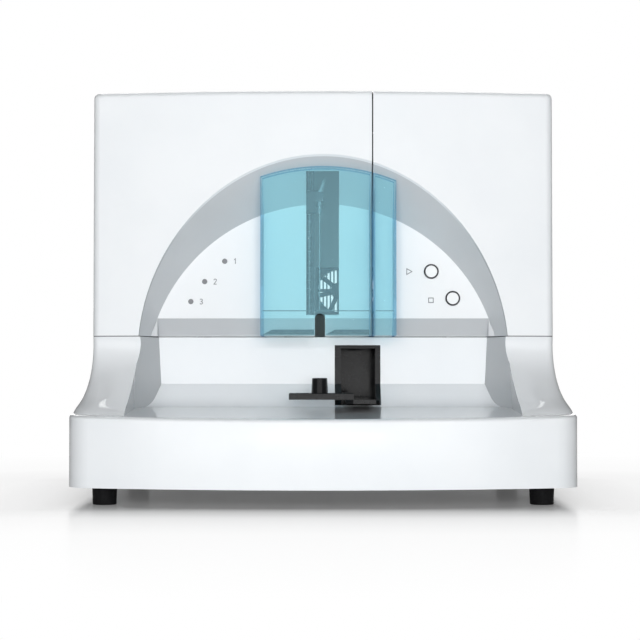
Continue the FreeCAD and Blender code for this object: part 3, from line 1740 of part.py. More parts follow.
def fluid_pump():
    """Small pump with a round motor, lying on a cradle."""
    z = base_plate_top + fluid_cradle + fluid_pump_half
    front = fluid_pump_front
    middle = front + fluid_pump_length
    rear = middle + fluid_motor_length
    head = box_between(fluid_pump_x - fluid_pump_half, fluid_pump_x + fluid_pump_half,
                       front, middle, z - fluid_pump_half, z + fluid_pump_half)
    head = round_edges(head, fluid_cradle / 2, lambda point: point.z > z + fluid_pump_half - fit_gap)
    motor = rod(fluid_motor_radius, V(fluid_pump_x, middle, z), V(fluid_pump_x, rear, z))
    cradle = box_between(fluid_pump_x - fluid_motor_radius, fluid_pump_x + fluid_motor_radius,
                         front + fluid_cradle, rear - fluid_cradle, base_plate_top,
                         z - fluid_motor_radius + fluid_cradle / 4)
    return joined([head, motor, cradle])


def main():
    """Build every node and write it."""
    os.makedirs("parts", exist_ok=True)
    save("base_housing", base_housing())
    save("base_plate", base_plate())
    save("rubber_feet", rubber_feet())
    save("foot_studs", foot_studs())
    save("port_liner", port_liner())
    save("slide_rods", slide_rods())
    save("sample_carriage", sample_carriage())
    save("sample_platform", sample_platform())
    save("tube_holder", tube_holder())
    save("side_frames", side_frames())
    save("module_plate", module_plate())
    save("rear_panel", rear_panel())
    save("rear_panel_screws", panel_screws())
    save("hinge_brackets", hinge_brackets())
    save("hinge_pins", hinge_pins())
    for name, side in (("left", -1), ("right", 1)):
        save(name + "_hood", hood_shell(side))
        save(name + "_arch_trim", arch_trim(side))
        save(name + "_front_panel", front_panel(side))
        save(name + "_window", hood_window(side))
        save(name + "_hood_ears", hood_ears(side))
    save("indicator_lamps", indicator_lamps())
    save("button_bezels", button_bezels())
    save("start_button", push_button(start_x, start_z))
    save("stop_button", push_button(stop_x, stop_z))
    save("fan_frame", fan_frame())
    save("fan_rotor", fan_rotor())
    save("power_inlet", power_inlet())
    save("rear_ports", rear_ports())
    save("power_rocker", power_rocker())
    save("probe_tower", tower_plate())
    save("guide_rail", guide_rail())
    save("lead_screw", lead_screw())
    save("stepper_motor", stepper_motor())
    save("probe_carriage", probe_carriage())
    save("probe_arm", probe_arm())
    save("probe_needle", probe_needle())
    save("probe_hose", probe_hose())
    save("strip_hopper", strip_hopper())
    save("hopper_lid", hopper_lid())
    save("drum_cheeks", drum_cheeks())
    save("strip_drum", strip_drum())
    save("strip_bed", strip_bed())
    save("reader_head", reader_head())
    save("waste_strip_box", waste_strip_box())
    save("microscope_stand", microscope_stand())
    save("objective_lens", objective_lens())
    save("camera_head", camera_head())
    save("flow_cell", flow_cell())
    save("microscope_lamp", lamp_house())
    save("syringe_pump", syringe_pump())
    save("syringe_barrel", syringe_barrel())
    save("syringe_plunger", syringe_plunger())
    save("power_supply", power_supply())
    save("main_board", main_board())
    save("fluid_pump", fluid_pump())


main()
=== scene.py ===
import json
import math

import bpy
from mathutils import Euler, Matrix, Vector

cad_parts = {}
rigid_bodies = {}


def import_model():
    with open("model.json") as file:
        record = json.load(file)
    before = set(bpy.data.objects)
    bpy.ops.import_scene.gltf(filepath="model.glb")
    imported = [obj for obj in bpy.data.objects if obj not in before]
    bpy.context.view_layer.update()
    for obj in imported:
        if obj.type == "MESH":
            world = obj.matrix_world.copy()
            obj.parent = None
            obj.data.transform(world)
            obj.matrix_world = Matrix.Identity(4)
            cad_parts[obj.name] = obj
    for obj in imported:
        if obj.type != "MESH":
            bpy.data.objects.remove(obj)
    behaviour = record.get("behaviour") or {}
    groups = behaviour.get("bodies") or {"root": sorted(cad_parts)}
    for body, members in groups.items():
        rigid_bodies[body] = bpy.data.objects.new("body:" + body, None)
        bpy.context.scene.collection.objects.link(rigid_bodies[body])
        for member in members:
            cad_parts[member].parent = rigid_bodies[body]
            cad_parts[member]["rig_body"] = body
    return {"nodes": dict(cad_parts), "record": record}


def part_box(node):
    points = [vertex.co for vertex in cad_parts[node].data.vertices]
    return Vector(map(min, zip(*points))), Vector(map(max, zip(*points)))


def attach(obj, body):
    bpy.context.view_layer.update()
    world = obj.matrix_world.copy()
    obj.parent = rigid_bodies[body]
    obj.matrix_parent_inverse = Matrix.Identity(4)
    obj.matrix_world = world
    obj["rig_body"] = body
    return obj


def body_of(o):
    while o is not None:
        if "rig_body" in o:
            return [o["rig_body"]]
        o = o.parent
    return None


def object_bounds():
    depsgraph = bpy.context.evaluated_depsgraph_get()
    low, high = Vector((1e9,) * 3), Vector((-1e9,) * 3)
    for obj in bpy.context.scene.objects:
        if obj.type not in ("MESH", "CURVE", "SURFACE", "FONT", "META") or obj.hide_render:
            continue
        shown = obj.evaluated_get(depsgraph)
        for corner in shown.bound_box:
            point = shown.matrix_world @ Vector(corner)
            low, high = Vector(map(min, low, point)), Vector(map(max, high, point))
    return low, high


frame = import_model()
cad_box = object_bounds()
nodes = frame["nodes"]

# Camera, metres and degrees

camera_place = Vector((-0.0047, -2.820, 0.1948))
camera_tilt = 1.70
level_look = 90.0               # a camera without a turn looks straight down
camera_lens = 98.5
camera_sensor = 36.0

# Colours, linear

shell_white = (0.840, 0.868, 0.890)
shell_shade = (0.815, 0.846, 0.872)
# painted shade: the grey given to the white shell's inward-looking faces in place of their shade
painted_reveal_shade = (0.430, 0.448, 0.465)
panel_white = (0.850, 0.872, 0.890)
panel_shade = (0.830, 0.854, 0.876)
arch_grey = (0.60, 0.62, 0.64)
arch_shade = (0.57, 0.59, 0.61)
button_white = (0.86, 0.875, 0.885)
button_shade = (0.84, 0.856, 0.868)
acrylic_cloud_share = 0.97
glass_cloud_share = 0.98
board_green = (0.012, 0.085, 0.030)
board_shade = (0.010, 0.070, 0.026)
board_track = (0.030, 0.160, 0.060)

# Materials: the part of a noise where most of its values lie, heights of relief in metres

pattern_low = 0.35
pattern_high = 0.65
grain_height = 0.0002
fine_height = 0.0001
pit_height = 0.00025
soft_height = 0.0003
painted_shade_facing = (-0.75, -0.45)    # how far a face looks inward: full painted shade, no painted shade
acrylic_slant = (0.45, 0.95)    # from looking straight at a wall to along it
mix_first = 6                   # sockets of a colour mix
mix_second = 7
mix_result = 2


def add_node(tree, kind, settings=None, **sockets):
    """Adds one shader node: settings are its properties, sockets its input values by name."""
    node = tree.nodes.new(kind)
    for key, value in (settings or {}).items():
        setattr(node, key, value)
    for key, value in sockets.items():
        node.inputs[key.replace("_", " ")].default_value = value
    return node


def colour(rgb):
    """A colour with full alpha."""
    return (*rgb, 1.0)


def faded(rgb, share):
    """A colour scaled by a share."""
    return tuple(share * part for part in rgb)


class Finish:
    """One procedural material: its colour, roughness and bump come from the object's own coordinates."""

    def __init__(self, name, **sockets):
        self.material = bpy.data.materials.new(name)
        self.material.use_nodes = True
        self.tree = self.material.node_tree
        self.shader = self.tree.nodes["Principled BSDF"]
        self.place = self.add("ShaderNodeTexCoord").outputs["Object"]
        for key, value in sockets.items():
            self.shader.inputs[key.replace("_", " ")].default_value = value

    def add(self, kind, settings=None, **sockets):
        """Adds one node to the material."""
        return add_node(self.tree, kind, settings, **sockets)

    def link(self, source, target):
        """Joins an output to an input."""
        self.tree.links.new(source, target)

    def stretched(self, stretch):
        """The object's coordinates scaled by stretch, for grain that runs one way."""
        mapping = self.add("ShaderNodeMapping", Scale=stretch)
        self.link(self.place, mapping.inputs["Vector"])
        return mapping.outputs["Vector"]

    def noise(self, scale, detail=3.0, stretch=None):
        """A soft pattern with about scale features to a metre."""
        texture = self.add("ShaderNodeTexNoise", Scale=scale, Detail=detail)
        self.link(self.stretched(stretch) if stretch else self.place, texture.inputs["Vector"])
        return texture.outputs["Fac"]

    def cells(self, scale, smooth=False):
        """A pattern of cells, about scale to a metre."""
        feature = "SMOOTH_F1" if smooth else "F1"
        texture = self.add("ShaderNodeTexVoronoi", {"feature": feature}, Scale=scale)
        self.link(self.place, texture.inputs["Vector"])
        return texture

    def spread(self, source, low, high, start=pattern_low, end=pattern_high):
        """Maps a pattern between start and end to values between low and high."""
        limits = self.add("ShaderNodeMapRange", From_Min=start, From_Max=end, To_Min=low, To_Max=high)
        self.link(source, limits.inputs["Value"])
        return limits.outputs["Result"]

    def blend(self, source, first, second):
        """A colour between first and second by a pattern from 0 to 1."""
        mix = self.add("ShaderNodeMix", {"data_type": "RGBA"})
        mix.inputs[mix_first].default_value = colour(first)
        mix.inputs[mix_second].default_value = colour(second)
        self.link(source, mix.inputs["Factor"])
        return mix.outputs[mix_result]

    def paint(self, first, second, scale):
        """Colour that drifts between two shades."""
        pattern = self.spread(self.noise(scale), 0.0, 1.0)
        self.link(self.blend(pattern, first, second), self.shader.inputs["Base Color"])

    def gloss(self, low, high, scale):
        """Roughness that drifts between low and high."""
        self.link(self.spread(self.noise(scale), low, high), self.shader.inputs["Roughness"])

    def relief(self, source, strength, depth):
        """A bump from a pattern; depth is its height in metres."""
        bump = self.add("ShaderNodeBump", Strength=strength, Distance=depth)
        self.link(source, bump.inputs["Height"])
        self.link(bump.outputs["Normal"], self.shader.inputs["Normal"])


def moulded(name, first, second, rough, grain, strength, coat=0.0):
    """Moulded plastic: two close shades, a drifting gloss and a fine grain."""
    finish = Finish(name, Coat_Weight=coat, Coat_Roughness=0.04)
    finish.paint(first, second, scale=9.0)
    finish.gloss(*rough, scale=14.0)
    finish.relief(finish.noise(grain, detail=2.0), strength, grain_height)
    return finish.material


def polished(name, first, second, rough):
    """Dark polished plastic with a faint wave and no coat."""
    finish = Finish(name, Specular_IOR_Level=0.35)
    finish.paint(first, second, scale=40.0)
    finish.gloss(*rough, scale=30.0)
    finish.relief(finish.noise(60.0, detail=2.0), strength=0.02, depth=grain_height)
    return finish.material


def shell(name, first, second, reveal_shade, rough):
    """Glossy white plastic whose faces that look inward, towards the middle, are painted grey by their
    facing: painted shade for the sides of the recess.
    """
    finish = Finish(name, Coat_Weight=1.0, Coat_Roughness=0.04)
    tone = finish.blend(finish.spread(finish.noise(scale=9.0), 0.0, 1.0), first, second)
    facing = finish.add("ShaderNodeSeparateXYZ")
    finish.link(finish.add("ShaderNodeNewGeometry").outputs["Normal"], facing.inputs[0])
    side = finish.add("ShaderNodeSeparateXYZ")
    finish.link(finish.place, side.inputs[0])
    hand = finish.add("ShaderNodeMath", {"operation": "SIGN"})
    finish.link(side.outputs["X"], hand.inputs[0])
    inward = finish.add("ShaderNodeMath", {"operation": "MULTIPLY"})
    finish.link(facing.outputs["X"], inward.inputs[0])
    finish.link(hand.outputs["Value"], inward.inputs[1])
    # painted shade: faces that look inward get the grey by how they face
    mask = finish.spread(inward.outputs["Value"], 1.0, 0.0, *painted_shade_facing)
    mix = finish.add("ShaderNodeMix", {"data_type": "RGBA"})
    finish.link(mask, mix.inputs["Factor"])
    finish.link(tone, mix.inputs[mix_first])
    mix.inputs[mix_second].default_value = colour(reveal_shade)
    finish.link(mix.outputs[mix_result], finish.shader.inputs["Base Color"])
    finish.gloss(*rough, scale=14.0)
    finish.relief(finish.noise(220.0, detail=2.0), strength=0.015, depth=grain_height)
    return finish.material


def eroded(name, first, second, rough, grain, sheen_level=0.5):
    """Plastic or rubber with the small pits of a spark-eroded mould."""
    finish = Finish(name, Specular_IOR_Level=sheen_level)
    finish.paint(first, second, scale=30.0)
    finish.gloss(*rough, scale=200.0)
    finish.relief(finish.cells(grain).outputs["Distance"], strength=0.35, depth=pit_height)
    return finish.material


def brushed(name, first, second, rough, stretch):
    """Metal brushed along one axis."""
    finish = Finish(name, Metallic=1.0)
    lines = finish.noise(40.0, detail=4.0, stretch=stretch)
    tone = finish.blend(finish.spread(lines, 0.0, 1.0), first, second)
    finish.link(tone, finish.shader.inputs["Base Color"])
    finish.link(finish.spread(lines, *rough), finish.shader.inputs["Roughness"])
    finish.relief(lines, strength=0.12, depth=fine_height)
    return finish.material


def spangled(name, first, second, rough, scale):
    """Zinc-coated steel: crystals of slightly different shade and gloss."""
    finish = Finish(name, Metallic=0.85)
    crystals = finish.cells(scale).outputs["Color"]
    tone = finish.add("ShaderNodeSeparateColor")
    finish.link(crystals, tone.inputs["Color"])
    finish.link(finish.blend(tone.outputs["Red"], first, second), finish.shader.inputs["Base Color"])
    gloss = finish.spread(tone.outputs["Green"], *rough, start=0.0, end=1.0)
    finish.link(gloss, finish.shader.inputs["Roughness"])
    finish.relief(finish.noise(600.0, detail=3.0), strength=0.06, depth=grain_height)
    return finish.material


def coated(name, first, second, rough, grain, metallic=0.0):
    """Powder coat or hammered paint: a soft cell relief under a low gloss."""
    finish = Finish(name, Metallic=metallic)
    finish.paint(first, second, scale=12.0)
    finish.gloss(*rough, scale=60.0)
    finish.relief(finish.cells(grain, smooth=True).outputs["Distance"], strength=0.25, depth=soft_height)
    return finish.material


def ringed(name, first, second, rough, pitch):
    """Turned and anodised metal with fine tool rings round the vertical."""
    finish = Finish(name, Metallic=0.6)
    rings = finish.add("ShaderNodeTexWave", {"bands_direction": "Z"}, Scale=pitch, Distortion=0.4)
    finish.link(finish.place, rings.inputs["Vector"])
    finish.link(finish.blend(rings.outputs["Fac"], first, second), finish.shader.inputs["Base Color"])
    finish.gloss(*rough, scale=80.0)
    finish.relief(rings.outputs["Fac"], strength=0.15, depth=fine_height)
    return finish.material


def see_through(name, tint, deep, body, haze, rough):
    """Coloured acrylic: each face tints what is behind it, more so at a grazing angle, and adds haze."""
    finish = Finish(name, Coat_Weight=0.4, Coat_Roughness=0.03)
    finish.paint(body, faded(body, acrylic_cloud_share), scale=6.0)
    finish.gloss(*rough, scale=25.0)
    finish.relief(finish.noise(35.0, detail=2.0), strength=0.03, depth=soft_height)
    slant = finish.add("ShaderNodeLayerWeight", Blend=0.5).outputs["Facing"]
    grazing = finish.spread(slant, 0.0, 1.0, *acrylic_slant)
    clear = finish.add("ShaderNodeBsdfTransparent")
    finish.link(finish.blend(grazing, tint, deep), clear.inputs["Color"])
    mix = finish.add("ShaderNodeMixShader")
    finish.link(finish.spread(grazing, *haze, start=0.0, end=1.0), mix.inputs["Fac"])
    finish.link(clear.outputs["BSDF"], mix.inputs[1])
    finish.link(finish.shader.outputs["BSDF"], mix.inputs[2])
    finish.link(mix.outputs["Shader"], finish.tree.nodes["Material Output"].inputs["Surface"])
    return finish.material


def glass(name, tint, rough):
    """Clear glass with faint draw marks."""
    finish = Finish(name, Transmission_Weight=1.0, IOR=1.5)
    finish.paint(tint, faded(tint, glass_cloud_share), scale=20.0)
    finish.gloss(*rough, scale=60.0)
    finish.relief(finish.noise(120.0, detail=2.0), strength=0.02, depth=grain_height)
    return finish.material


def silicone(name, first, second, rough):
    """Translucent hose with a cloudy wall."""
    finish = Finish(name, Transmission_Weight=0.35, IOR=1.41)
    finish.paint(first, second, scale=90.0)
    finish.gloss(*rough, scale=120.0)
    finish.relief(finish.noise(700.0, detail=2.0), strength=0.08, depth=fine_height)
    return finish.material


def circuit_board(name, first, second, track, rough):
    """Green solder mask with paler tracks that stand out a little."""
    finish = Finish(name, Coat_Weight=0.3, Coat_Roughness=0.2)
    tracks = finish.add("ShaderNodeTexBrick", {"offset": 0.37}, Scale=60.0, Mortar_Size=0.035)
    tracks.inputs["Color1"].default_value = colour(first)
    tracks.inputs["Color2"].default_value = colour(second)
    tracks.inputs["Mortar"].default_value = colour(track)
    finish.link(finish.place, tracks.inputs["Vector"])
    finish.link(tracks.outputs["Color"], finish.shader.inputs["Base Color"])
    finish.gloss(*rough, scale=90.0)
    finish.relief(tracks.outputs["Fac"], strength=0.2, depth=fine_height)
    return finish.material


slot_materials = {
    "white_gloss": shell(
        "shell_plastic", shell_white, shell_shade, painted_reveal_shade, rough=(0.30, 0.38)),
    "panel_white": moulded(
        "panel_plastic", panel_white, panel_shade, rough=(0.28, 0.38), grain=900.0, strength=0.05,
        coat=0.2),
    "arch_grey": moulded(
        "arch_plastic", arch_grey, arch_shade, rough=(0.32, 0.42), grain=900.0, strength=0.05, coat=0.3),
    "window_blue": see_through(
        "window_acrylic", tint=(0.84, 0.985, 1.0), deep=(0.36, 0.58, 0.80), body=(0.50, 0.86, 1.0),
        haze=(0.15, 0.32), rough=(0.04, 0.09)),
    "black_gloss": polished(
        "port_plastic", (0.006, 0.0065, 0.007), (0.010, 0.0105, 0.012), rough=(0.06, 0.14)),
    "black_rubber": eroded(
        "foot_rubber", (0.004, 0.004, 0.0045), (0.008, 0.008, 0.009), rough=(0.55, 0.70), grain=1500.0,
        sheen_level=0.25),
    "black_plastic": eroded(
        "fitting_plastic", (0.014, 0.014, 0.016), (0.022, 0.022, 0.025), rough=(0.38, 0.55), grain=1800.0),
    "dark_chrome": brushed(
        "ring_chrome", (0.09, 0.09, 0.10), (0.16, 0.16, 0.17), rough=(0.10, 0.22), stretch=(1.0, 8.0, 1.0)),
    "button_white": moulded(
        "button_plastic", button_white, button_shade, rough=(0.10, 0.18), grain=400.0, strength=0.03,
        coat=0.6),
    "lamp_grey": moulded(
        "lamp_lens", (0.16, 0.165, 0.18), (0.21, 0.215, 0.23), rough=(0.12, 0.22), grain=600.0, strength=0.05,
        coat=0.6),
    "zinc_steel": spangled(
        "zinc_sheet", (0.33, 0.34, 0.35), (0.46, 0.47, 0.48), rough=(0.30, 0.50), scale=90.0),
    "rear_paint": coated(
        "rear_powder", (0.58, 0.60, 0.61), (0.62, 0.64, 0.65), rough=(0.40, 0.52), grain=1100.0),
    "bright_steel": brushed(
        "bright_steel", (0.46, 0.46, 0.47), (0.60, 0.60, 0.61), rough=(0.14, 0.30), stretch=(1.0, 1.0, 14.0)),
    "tower_aluminium": brushed(
        "tower_aluminium", (0.10, 0.105, 0.115), (0.15, 0.155, 0.165), rough=(0.34, 0.50),
        stretch=(14.0, 14.0, 1.0)),
    "module_grey": eroded(
        "module_grey", (0.24, 0.26, 0.29), (0.28, 0.30, 0.33), rough=(0.40, 0.55), grain=1600.0),
    "module_white": eroded(
        "module_white", (0.68, 0.70, 0.72), (0.73, 0.75, 0.77), rough=(0.38, 0.52), grain=1600.0),
    "scope_paint": coated(
        "scope_hammer_paint", (0.060, 0.068, 0.080), (0.085, 0.095, 0.110), rough=(0.30, 0.45), grain=500.0,
        metallic=0.3),
    "lens_black": ringed(
        "lens_anodised", (0.010, 0.010, 0.012), (0.022, 0.022, 0.025), rough=(0.25, 0.40), pitch=500.0),
    "clear_glass": glass(
        "flow_glass", tint=(0.90, 0.96, 0.97), rough=(0.02, 0.05)),
    "plunger_white": eroded(
        "plunger_white", (0.74, 0.74, 0.74), (0.79, 0.79, 0.79), rough=(0.35, 0.48), grain=1500.0),
    "hose_clear": silicone(
        "hose_silicone", (0.62, 0.68, 0.72), (0.70, 0.75, 0.78), rough=(0.28, 0.42)),
    "supply_steel": spangled(
        "supply_case", (0.28, 0.29, 0.30), (0.40, 0.41, 0.42), rough=(0.32, 0.48), scale=70.0),
    "board_green": circuit_board(
        "board_mask", board_green, board_shade, board_track, rough=(0.25, 0.40)),
}


def dress_nodes():
    """Gives every CAD node the material of its slot in the record."""
    slots = {part["node"]: part["material_slot"] for part in frame["record"]["subparts"]}
    for name, piece in nodes.items():
        piece.data.materials.clear()
        piece.data.materials.append(slot_materials[slots[name]])


dress_nodes()

# Small pieces on the CAD nodes, millimetres

per_metre = 1000.0
sharpest_turn_share = 0.5       # limits how far a corner of a line reaches out


def metres(point):
    """A point in millimetres as one in metres."""
    return Vector(point) / per_metre


def node_box(name):
    """The low and the high corner of a CAD node, in millimetres."""
    low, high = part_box(name)
    return low * per_metre, high * per_metre


def body_under(name):
    """The body that a CAD node rides on."""
    return body_of(nodes[name])[0]


left_hood_box = node_box("left_hood")
right_hood_box = node_box("right_hood")
hood_bottom = left_hood_box[0].z


def add_piece(name, points, faces, body, slot_name):
    """A new piece from points in millimetres, with the finish of a slot, riding on a body."""
    mesh = bpy.data.meshes.new(name)
    mesh.from_pydata([metres(point) for point in points], [], faces)
    mesh.materials.append(slot_materials[slot_name])
    piece = bpy.data.objects.new(name, mesh)
    bpy.context.scene.collection.objects.link(piece)
    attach(piece, body)


def corner_offset(before, point, after, half):
    """Offset to the left of a path at one point, so that the line keeps its width round the corner."""
    incoming = (point - before).normalized() if before else None
    outgoing = (after - point).normalized() if after else None
    incoming = incoming or outgoing
    outgoing = outgoing or incoming
    along = (incoming + outgoing).normalized()
    left = Vector((-along.y, along.x))
    turn = max(left.dot(Vector((-incoming.y, incoming.x))), sharpest_turn_share)
    return left * half / turn


def line_edges(path, closed, width):
    """The left and the right edge of a line of even width, at each point of its path."""
    path = [Vector(point) for point in path]
    count = len(path)
    edges = []
    for index, point in enumerate(path):
        before = path[index - 1] if closed or index > 0 else None
        after = path[(index + 1) % count] if closed or index < count - 1 else None
        side = corner_offset(before, point, after, width / 2)
        edges += [point + side, point - side]
    return edges


def bar_faces(count, closed):
    """The faces of a bar that has four corners at each of count places along it."""
    faces = []
    for index in range(count if closed else count - 1):
        here = 4 * index
        ahead = 4 * ((index + 1) % count)
        faces += [
            (here, ahead, ahead + 2, here + 2),
            (here + 1, here + 3, ahead + 3, ahead + 1),
            (here, here + 1, ahead + 1, ahead),
            (here + 2, ahead + 2, ahead + 3, here + 3),
        ]
    if not closed:
        end = 4 * (count - 1)
        faces += [(0, 2, 3, 1), (end, end + 1, end + 3, end + 2)]
    return faces


# Print beside the lamps and buttons; shares are of its height

panel_face = node_box("left_front_panel")[0].y
digit_shares = (
    ((0.08, 0.76), (0.34, 1.00), (0.34, 0.00)),
    ((0.04, 0.77), (0.12, 0.93), (0.30, 1.00), (0.48, 0.93), (0.55, 0.76), (0.47, 0.57),
     (0.04, 0.00), (0.58, 0.00)),
    ((0.04, 0.90), (0.26, 1.00), (0.48, 0.91), (0.52, 0.74), (0.43, 0.58), (0.24, 0.52),
     (0.46, 0.45), (0.57, 0.27), (0.48, 0.08), (0.27, 0.00), (0.02, 0.10)),
)
triangle_shares = ((-0.42, -0.50), (0.48, 0.0), (-0.42, 0.50))
square_shares = ((-0.40, -0.40), (0.40, -0.40), (0.40, 0.40), (-0.40, 0.40))
print_height = 8.0
print_line = 1.2
print_proud = 0.12
print_sunk = 0.05
digit_step = 14.0
icon_height = 9.0
lamp_places = ((-154.0, 368.2), (-185.3, 336.3), (-207.0, 305.0))
triangle_place = (135.0, 352.0)
square_place = (169.0, 307.0)


def add_stroke(name, path, closed, body):
    """A printed line along (x, z) points, a hair proud of the front panels."""
    points = []
    for edge in line_edges(path, closed, print_line):
        points += [(edge.x, panel_face - print_proud, edge.y), (edge.x, panel_face + print_sunk, edge.y)]
    add_piece(name, points, bar_faces(len(path), closed), body, "lamp_grey")


def scaled(shares, size, place):
    """A path from its shares of a size, set at a place."""
    return [(place[0] + size * x, place[1] + size * z) for x, z in shares]


def add_panel_print():
    """Plain numbers at the lamps, a triangle and a square at the buttons."""
    left_body = body_under("left_front_panel")
    right_body = body_under("right_front_panel")
    for number, (shares, lamp) in enumerate(zip(digit_shares, lamp_places), 1):
        place = (lamp[0] + digit_step, lamp[1] - print_height / 2)
        add_stroke(f"lamp_number_{number}", scaled(shares, print_height, place), False, left_body)
    marks = (("start_mark", triangle_shares, triangle_place), ("stop_mark", square_shares, square_place))
    for name, shares, place in marks:
        add_stroke(name, scaled(shares, icon_height, place), True, right_body)


add_panel_print()

# Marks behind the window's front wall, and a dark plate on each side of its notch as painted shadow

left_window_box = node_box("left_window")
window_mark_inset = 4.4         # past the window's front wall
window_mark_depth = 1.2
step_low = 287.6
step_high = 289.0
step_end_inset = 3.5
shadow_lift = 1.2
shadow_height = 7.8
shadow_slant = 14.0
shadow_end_inset = 4.0
notch_left = -13.5
notch_right = 4.0


def add_plate(name, outline, front, back, body, slot_name):
    """A thin plate from (x, z) points, between two depths."""
    count = len(outline)
    points = [(x, front, z) for x, z in outline] + [(x, back, z) for x, z in outline]
    faces = [tuple(range(count)), tuple(reversed(range(count, 2 * count)))]
    for index in range(count):
        after = (index + 1) % count
        faces.append((index, index + count, after + count, after))
    add_piece(name, points, faces, body, slot_name)


def add_window_marks():
    """The step of the window's lower wall, and a dark slanted plate on each side of its notch: a painted
    shadow.
    """
    front = left_window_box[0].y + window_mark_inset
    back = front + window_mark_depth
    for hand in ("left", "right"):
        window_low, window_high = node_box(hand + "_window")
        start = window_low.x + step_end_inset
        end = window_high.x - step_end_inset
        outline = ((start, step_low), (end, step_low), (end, step_high), (start, step_high))
        add_plate("window_step_" + hand, outline, front, back, body_under(hand + "_window"), "lamp_grey")
    low = hood_bottom + shadow_lift
    high = low + shadow_height
    body = body_under("left_window")
    left_end = left_window_box[0].x + shadow_end_inset
    right_end = left_window_box[1].x - shadow_end_inset
    # painted shadow: slanted dark plates where the window's lower part falls in shade
    for mark, start, end in (("a", left_end, notch_left), ("b", notch_right, right_end)):
        outline = ((start, low), (end, low), (end, high), (start + shadow_slant, high))
        add_plate("window_painted_shadow_" + mark, outline, front, back, body, "black_plastic")


add_window_marks()

# Grey plates at the ends of the lip under the arch: painted shade for the corner there

shade_plate_gap = 0.3
shade_plate_thickness = 1.5
shade_plate_inner = 259.2
shade_plate_width = 10.2
shade_plate_lift = 1.2
shade_plate_height = 24.7


def add_corner_shade_plates():
    """Grey plates in the corners between the arch and the ends of its lip: painted shade where the corner
    falls dark.
    """
    low = hood_bottom + shade_plate_lift
    corners = ((shade_plate_inner, low), (shade_plate_inner + shade_plate_width, low), (shade_plate_inner, low + shade_plate_height))
    back = panel_face - shade_plate_gap
    for hand, side in (("left", -1.0), ("right", 1.0)):
        outline = [(side * x, z) for x, z in corners]
        body = body_under(hand + "_arch_trim")
        add_plate(hand + "_arch_corner_shade", outline, back - shade_plate_thickness, back, body, "arch_grey")


add_corner_shade_plates()

# Seals in the seam between the base's columns and the hoods

seal_gap = 0.1
seal_width = 3.0
seal_inset = 2.3
seal_corner_inset = 4.6         # the cabinet's upright corner is rounded
seal_front_shares = (1.0, 0.97, 0.92, 0.86)
seal_inner_front = 286.0
seal_inner_back = 261.0
seal_recess = -57.0
seal_rear = 300.0
cabinet_bow = 30.0              # how far the front falls back at the cabinet's ends


def add_seal(name, hand):
    """The dark seal on top of a column: along its side, its bowed front and its face in the recess."""
    cabinet_half = right_hood_box[1].x
    cabinet_front = left_hood_box[0].y
    outer = cabinet_half - seal_inset
    front = [share * outer for share in seal_front_shares] + [seal_inner_front]
    path = [(hand * outer, seal_rear)]
    for x in front:
        path.append((hand * x, cabinet_front + seal_inset + cabinet_bow * (x / cabinet_half) ** 2))
    path[1] = (hand * outer, path[1][1] + seal_corner_inset)
    path.append((hand * seal_inner_back, seal_recess))
    low = node_box("base_housing")[1].z + seal_gap
    high = hood_bottom - seal_gap
    points = []
    for edge in line_edges(path, False, seal_width):
        points += [(edge.x, edge.y, low), (edge.x, edge.y, high)]
    body = body_under("base_housing")
    add_piece(name, points, bar_faces(len(path), False), body, "black_rubber")


add_seal("left_seam_seal", -1.0)
add_seal("right_seam_seal", 1.0)

# Strip in the upright seam between the hoods

hood_seal_gap = 0.3
hood_seal_setback = 1.5
edge_reach = 0.01               # corners this near to the hood's side of the seam lie on it


def hood_seal_point(point, x):
    """A corner of the left hood's edge, set back from the hood's front, top and rear faces."""
    inward = hood_seal_setback if point.y < 0.0 else -hood_seal_setback
    return (x, point.y + inward, point.z - hood_seal_setback)


def add_hood_seal():
    """The dark strip between the hoods, cut to the left hood's edge."""
    hood = nodes["left_hood"]
    left_edge = left_hood_box[1].x
    right_edge = right_hood_box[0].x
    corners = [hood.matrix_world @ vertex.co * per_metre for vertex in hood.data.vertices]
    edge_faces = [list(face.vertices) for face in hood.data.polygons
                  if all(abs(corners[index].x - left_edge) < edge_reach for index in face.vertices)]
    used = sorted({index for face in edge_faces for index in face})
    order = {index: place for place, index in enumerate(used)}
    count = len(used)
    sides = (left_edge + hood_seal_gap, right_edge - hood_seal_gap)
    points = [hood_seal_point(corners[index], x) for x in sides for index in used]
    faces = []
    border = set()
    for face in edge_faces:
        ring = [order[index] for index in face]
        faces.append([place + count for place in ring])
        faces.append(ring[::-1])
        for start, end in zip(ring, ring[1:] + ring[:1]):
            if (end, start) in border:
                border.remove((end, start))
            else:
                border.add((start, end))
    faces += [(start, end, end + count, start + count) for start, end in sorted(border)]
    add_piece("hood_seal", points, faces, body_under("left_hood"), "black_rubber")


add_hood_seal()

# Room: places in metres, strengths in watts

world_strength = 0.13
studio_lights = (
    # name, place, aim, size, strength, in gloss
    ("key_light", (0.0, -3.4, 0.50), (0.0, 0.0, 0.3), (1.3, 1.0), 71.5, False),
    ("front_softbox", (0.0, -3.4, 0.75), (0.0, 0.0, 0.3), (4.6, 1.8), 21.0, True),
    ("low_card", (0.0, -1.5, 0.02), (0.0, -0.2, 0.55), (1.8, 0.5), 1.6, True),
    ("top_softbox", (0.0, 1.3, 2.3), (0.0, 0.1, 0.6), (1.8, 1.2), 16.0, True),
    ("left_softbox", (-3.2, 1.5, 0.9), (-0.3, 0.1, 0.4), (1.4, 1.0), 19.0, False),
    ("right_softbox", (3.2, 1.5, 0.9), (0.3, 0.1, 0.4), (1.4, 1.0), 19.0, False),
    ("rear_softbox", (0.0, 3.6, 1.1), (0.0, 0.3, 0.3), (2.6, 1.4), 23.0, True),
)
plain_white = (1.0, 1.0, 1.0)
floor_size = 30.0
floor_white = (0.86, 0.86, 0.86)
floor_shade = (0.88, 0.88, 0.88)
floor_shares = ((0.0, 0.07), (0.06, 0.38), (0.16, 0.68), (0.40, 0.90), (1.0, 1.0))  # distance, white


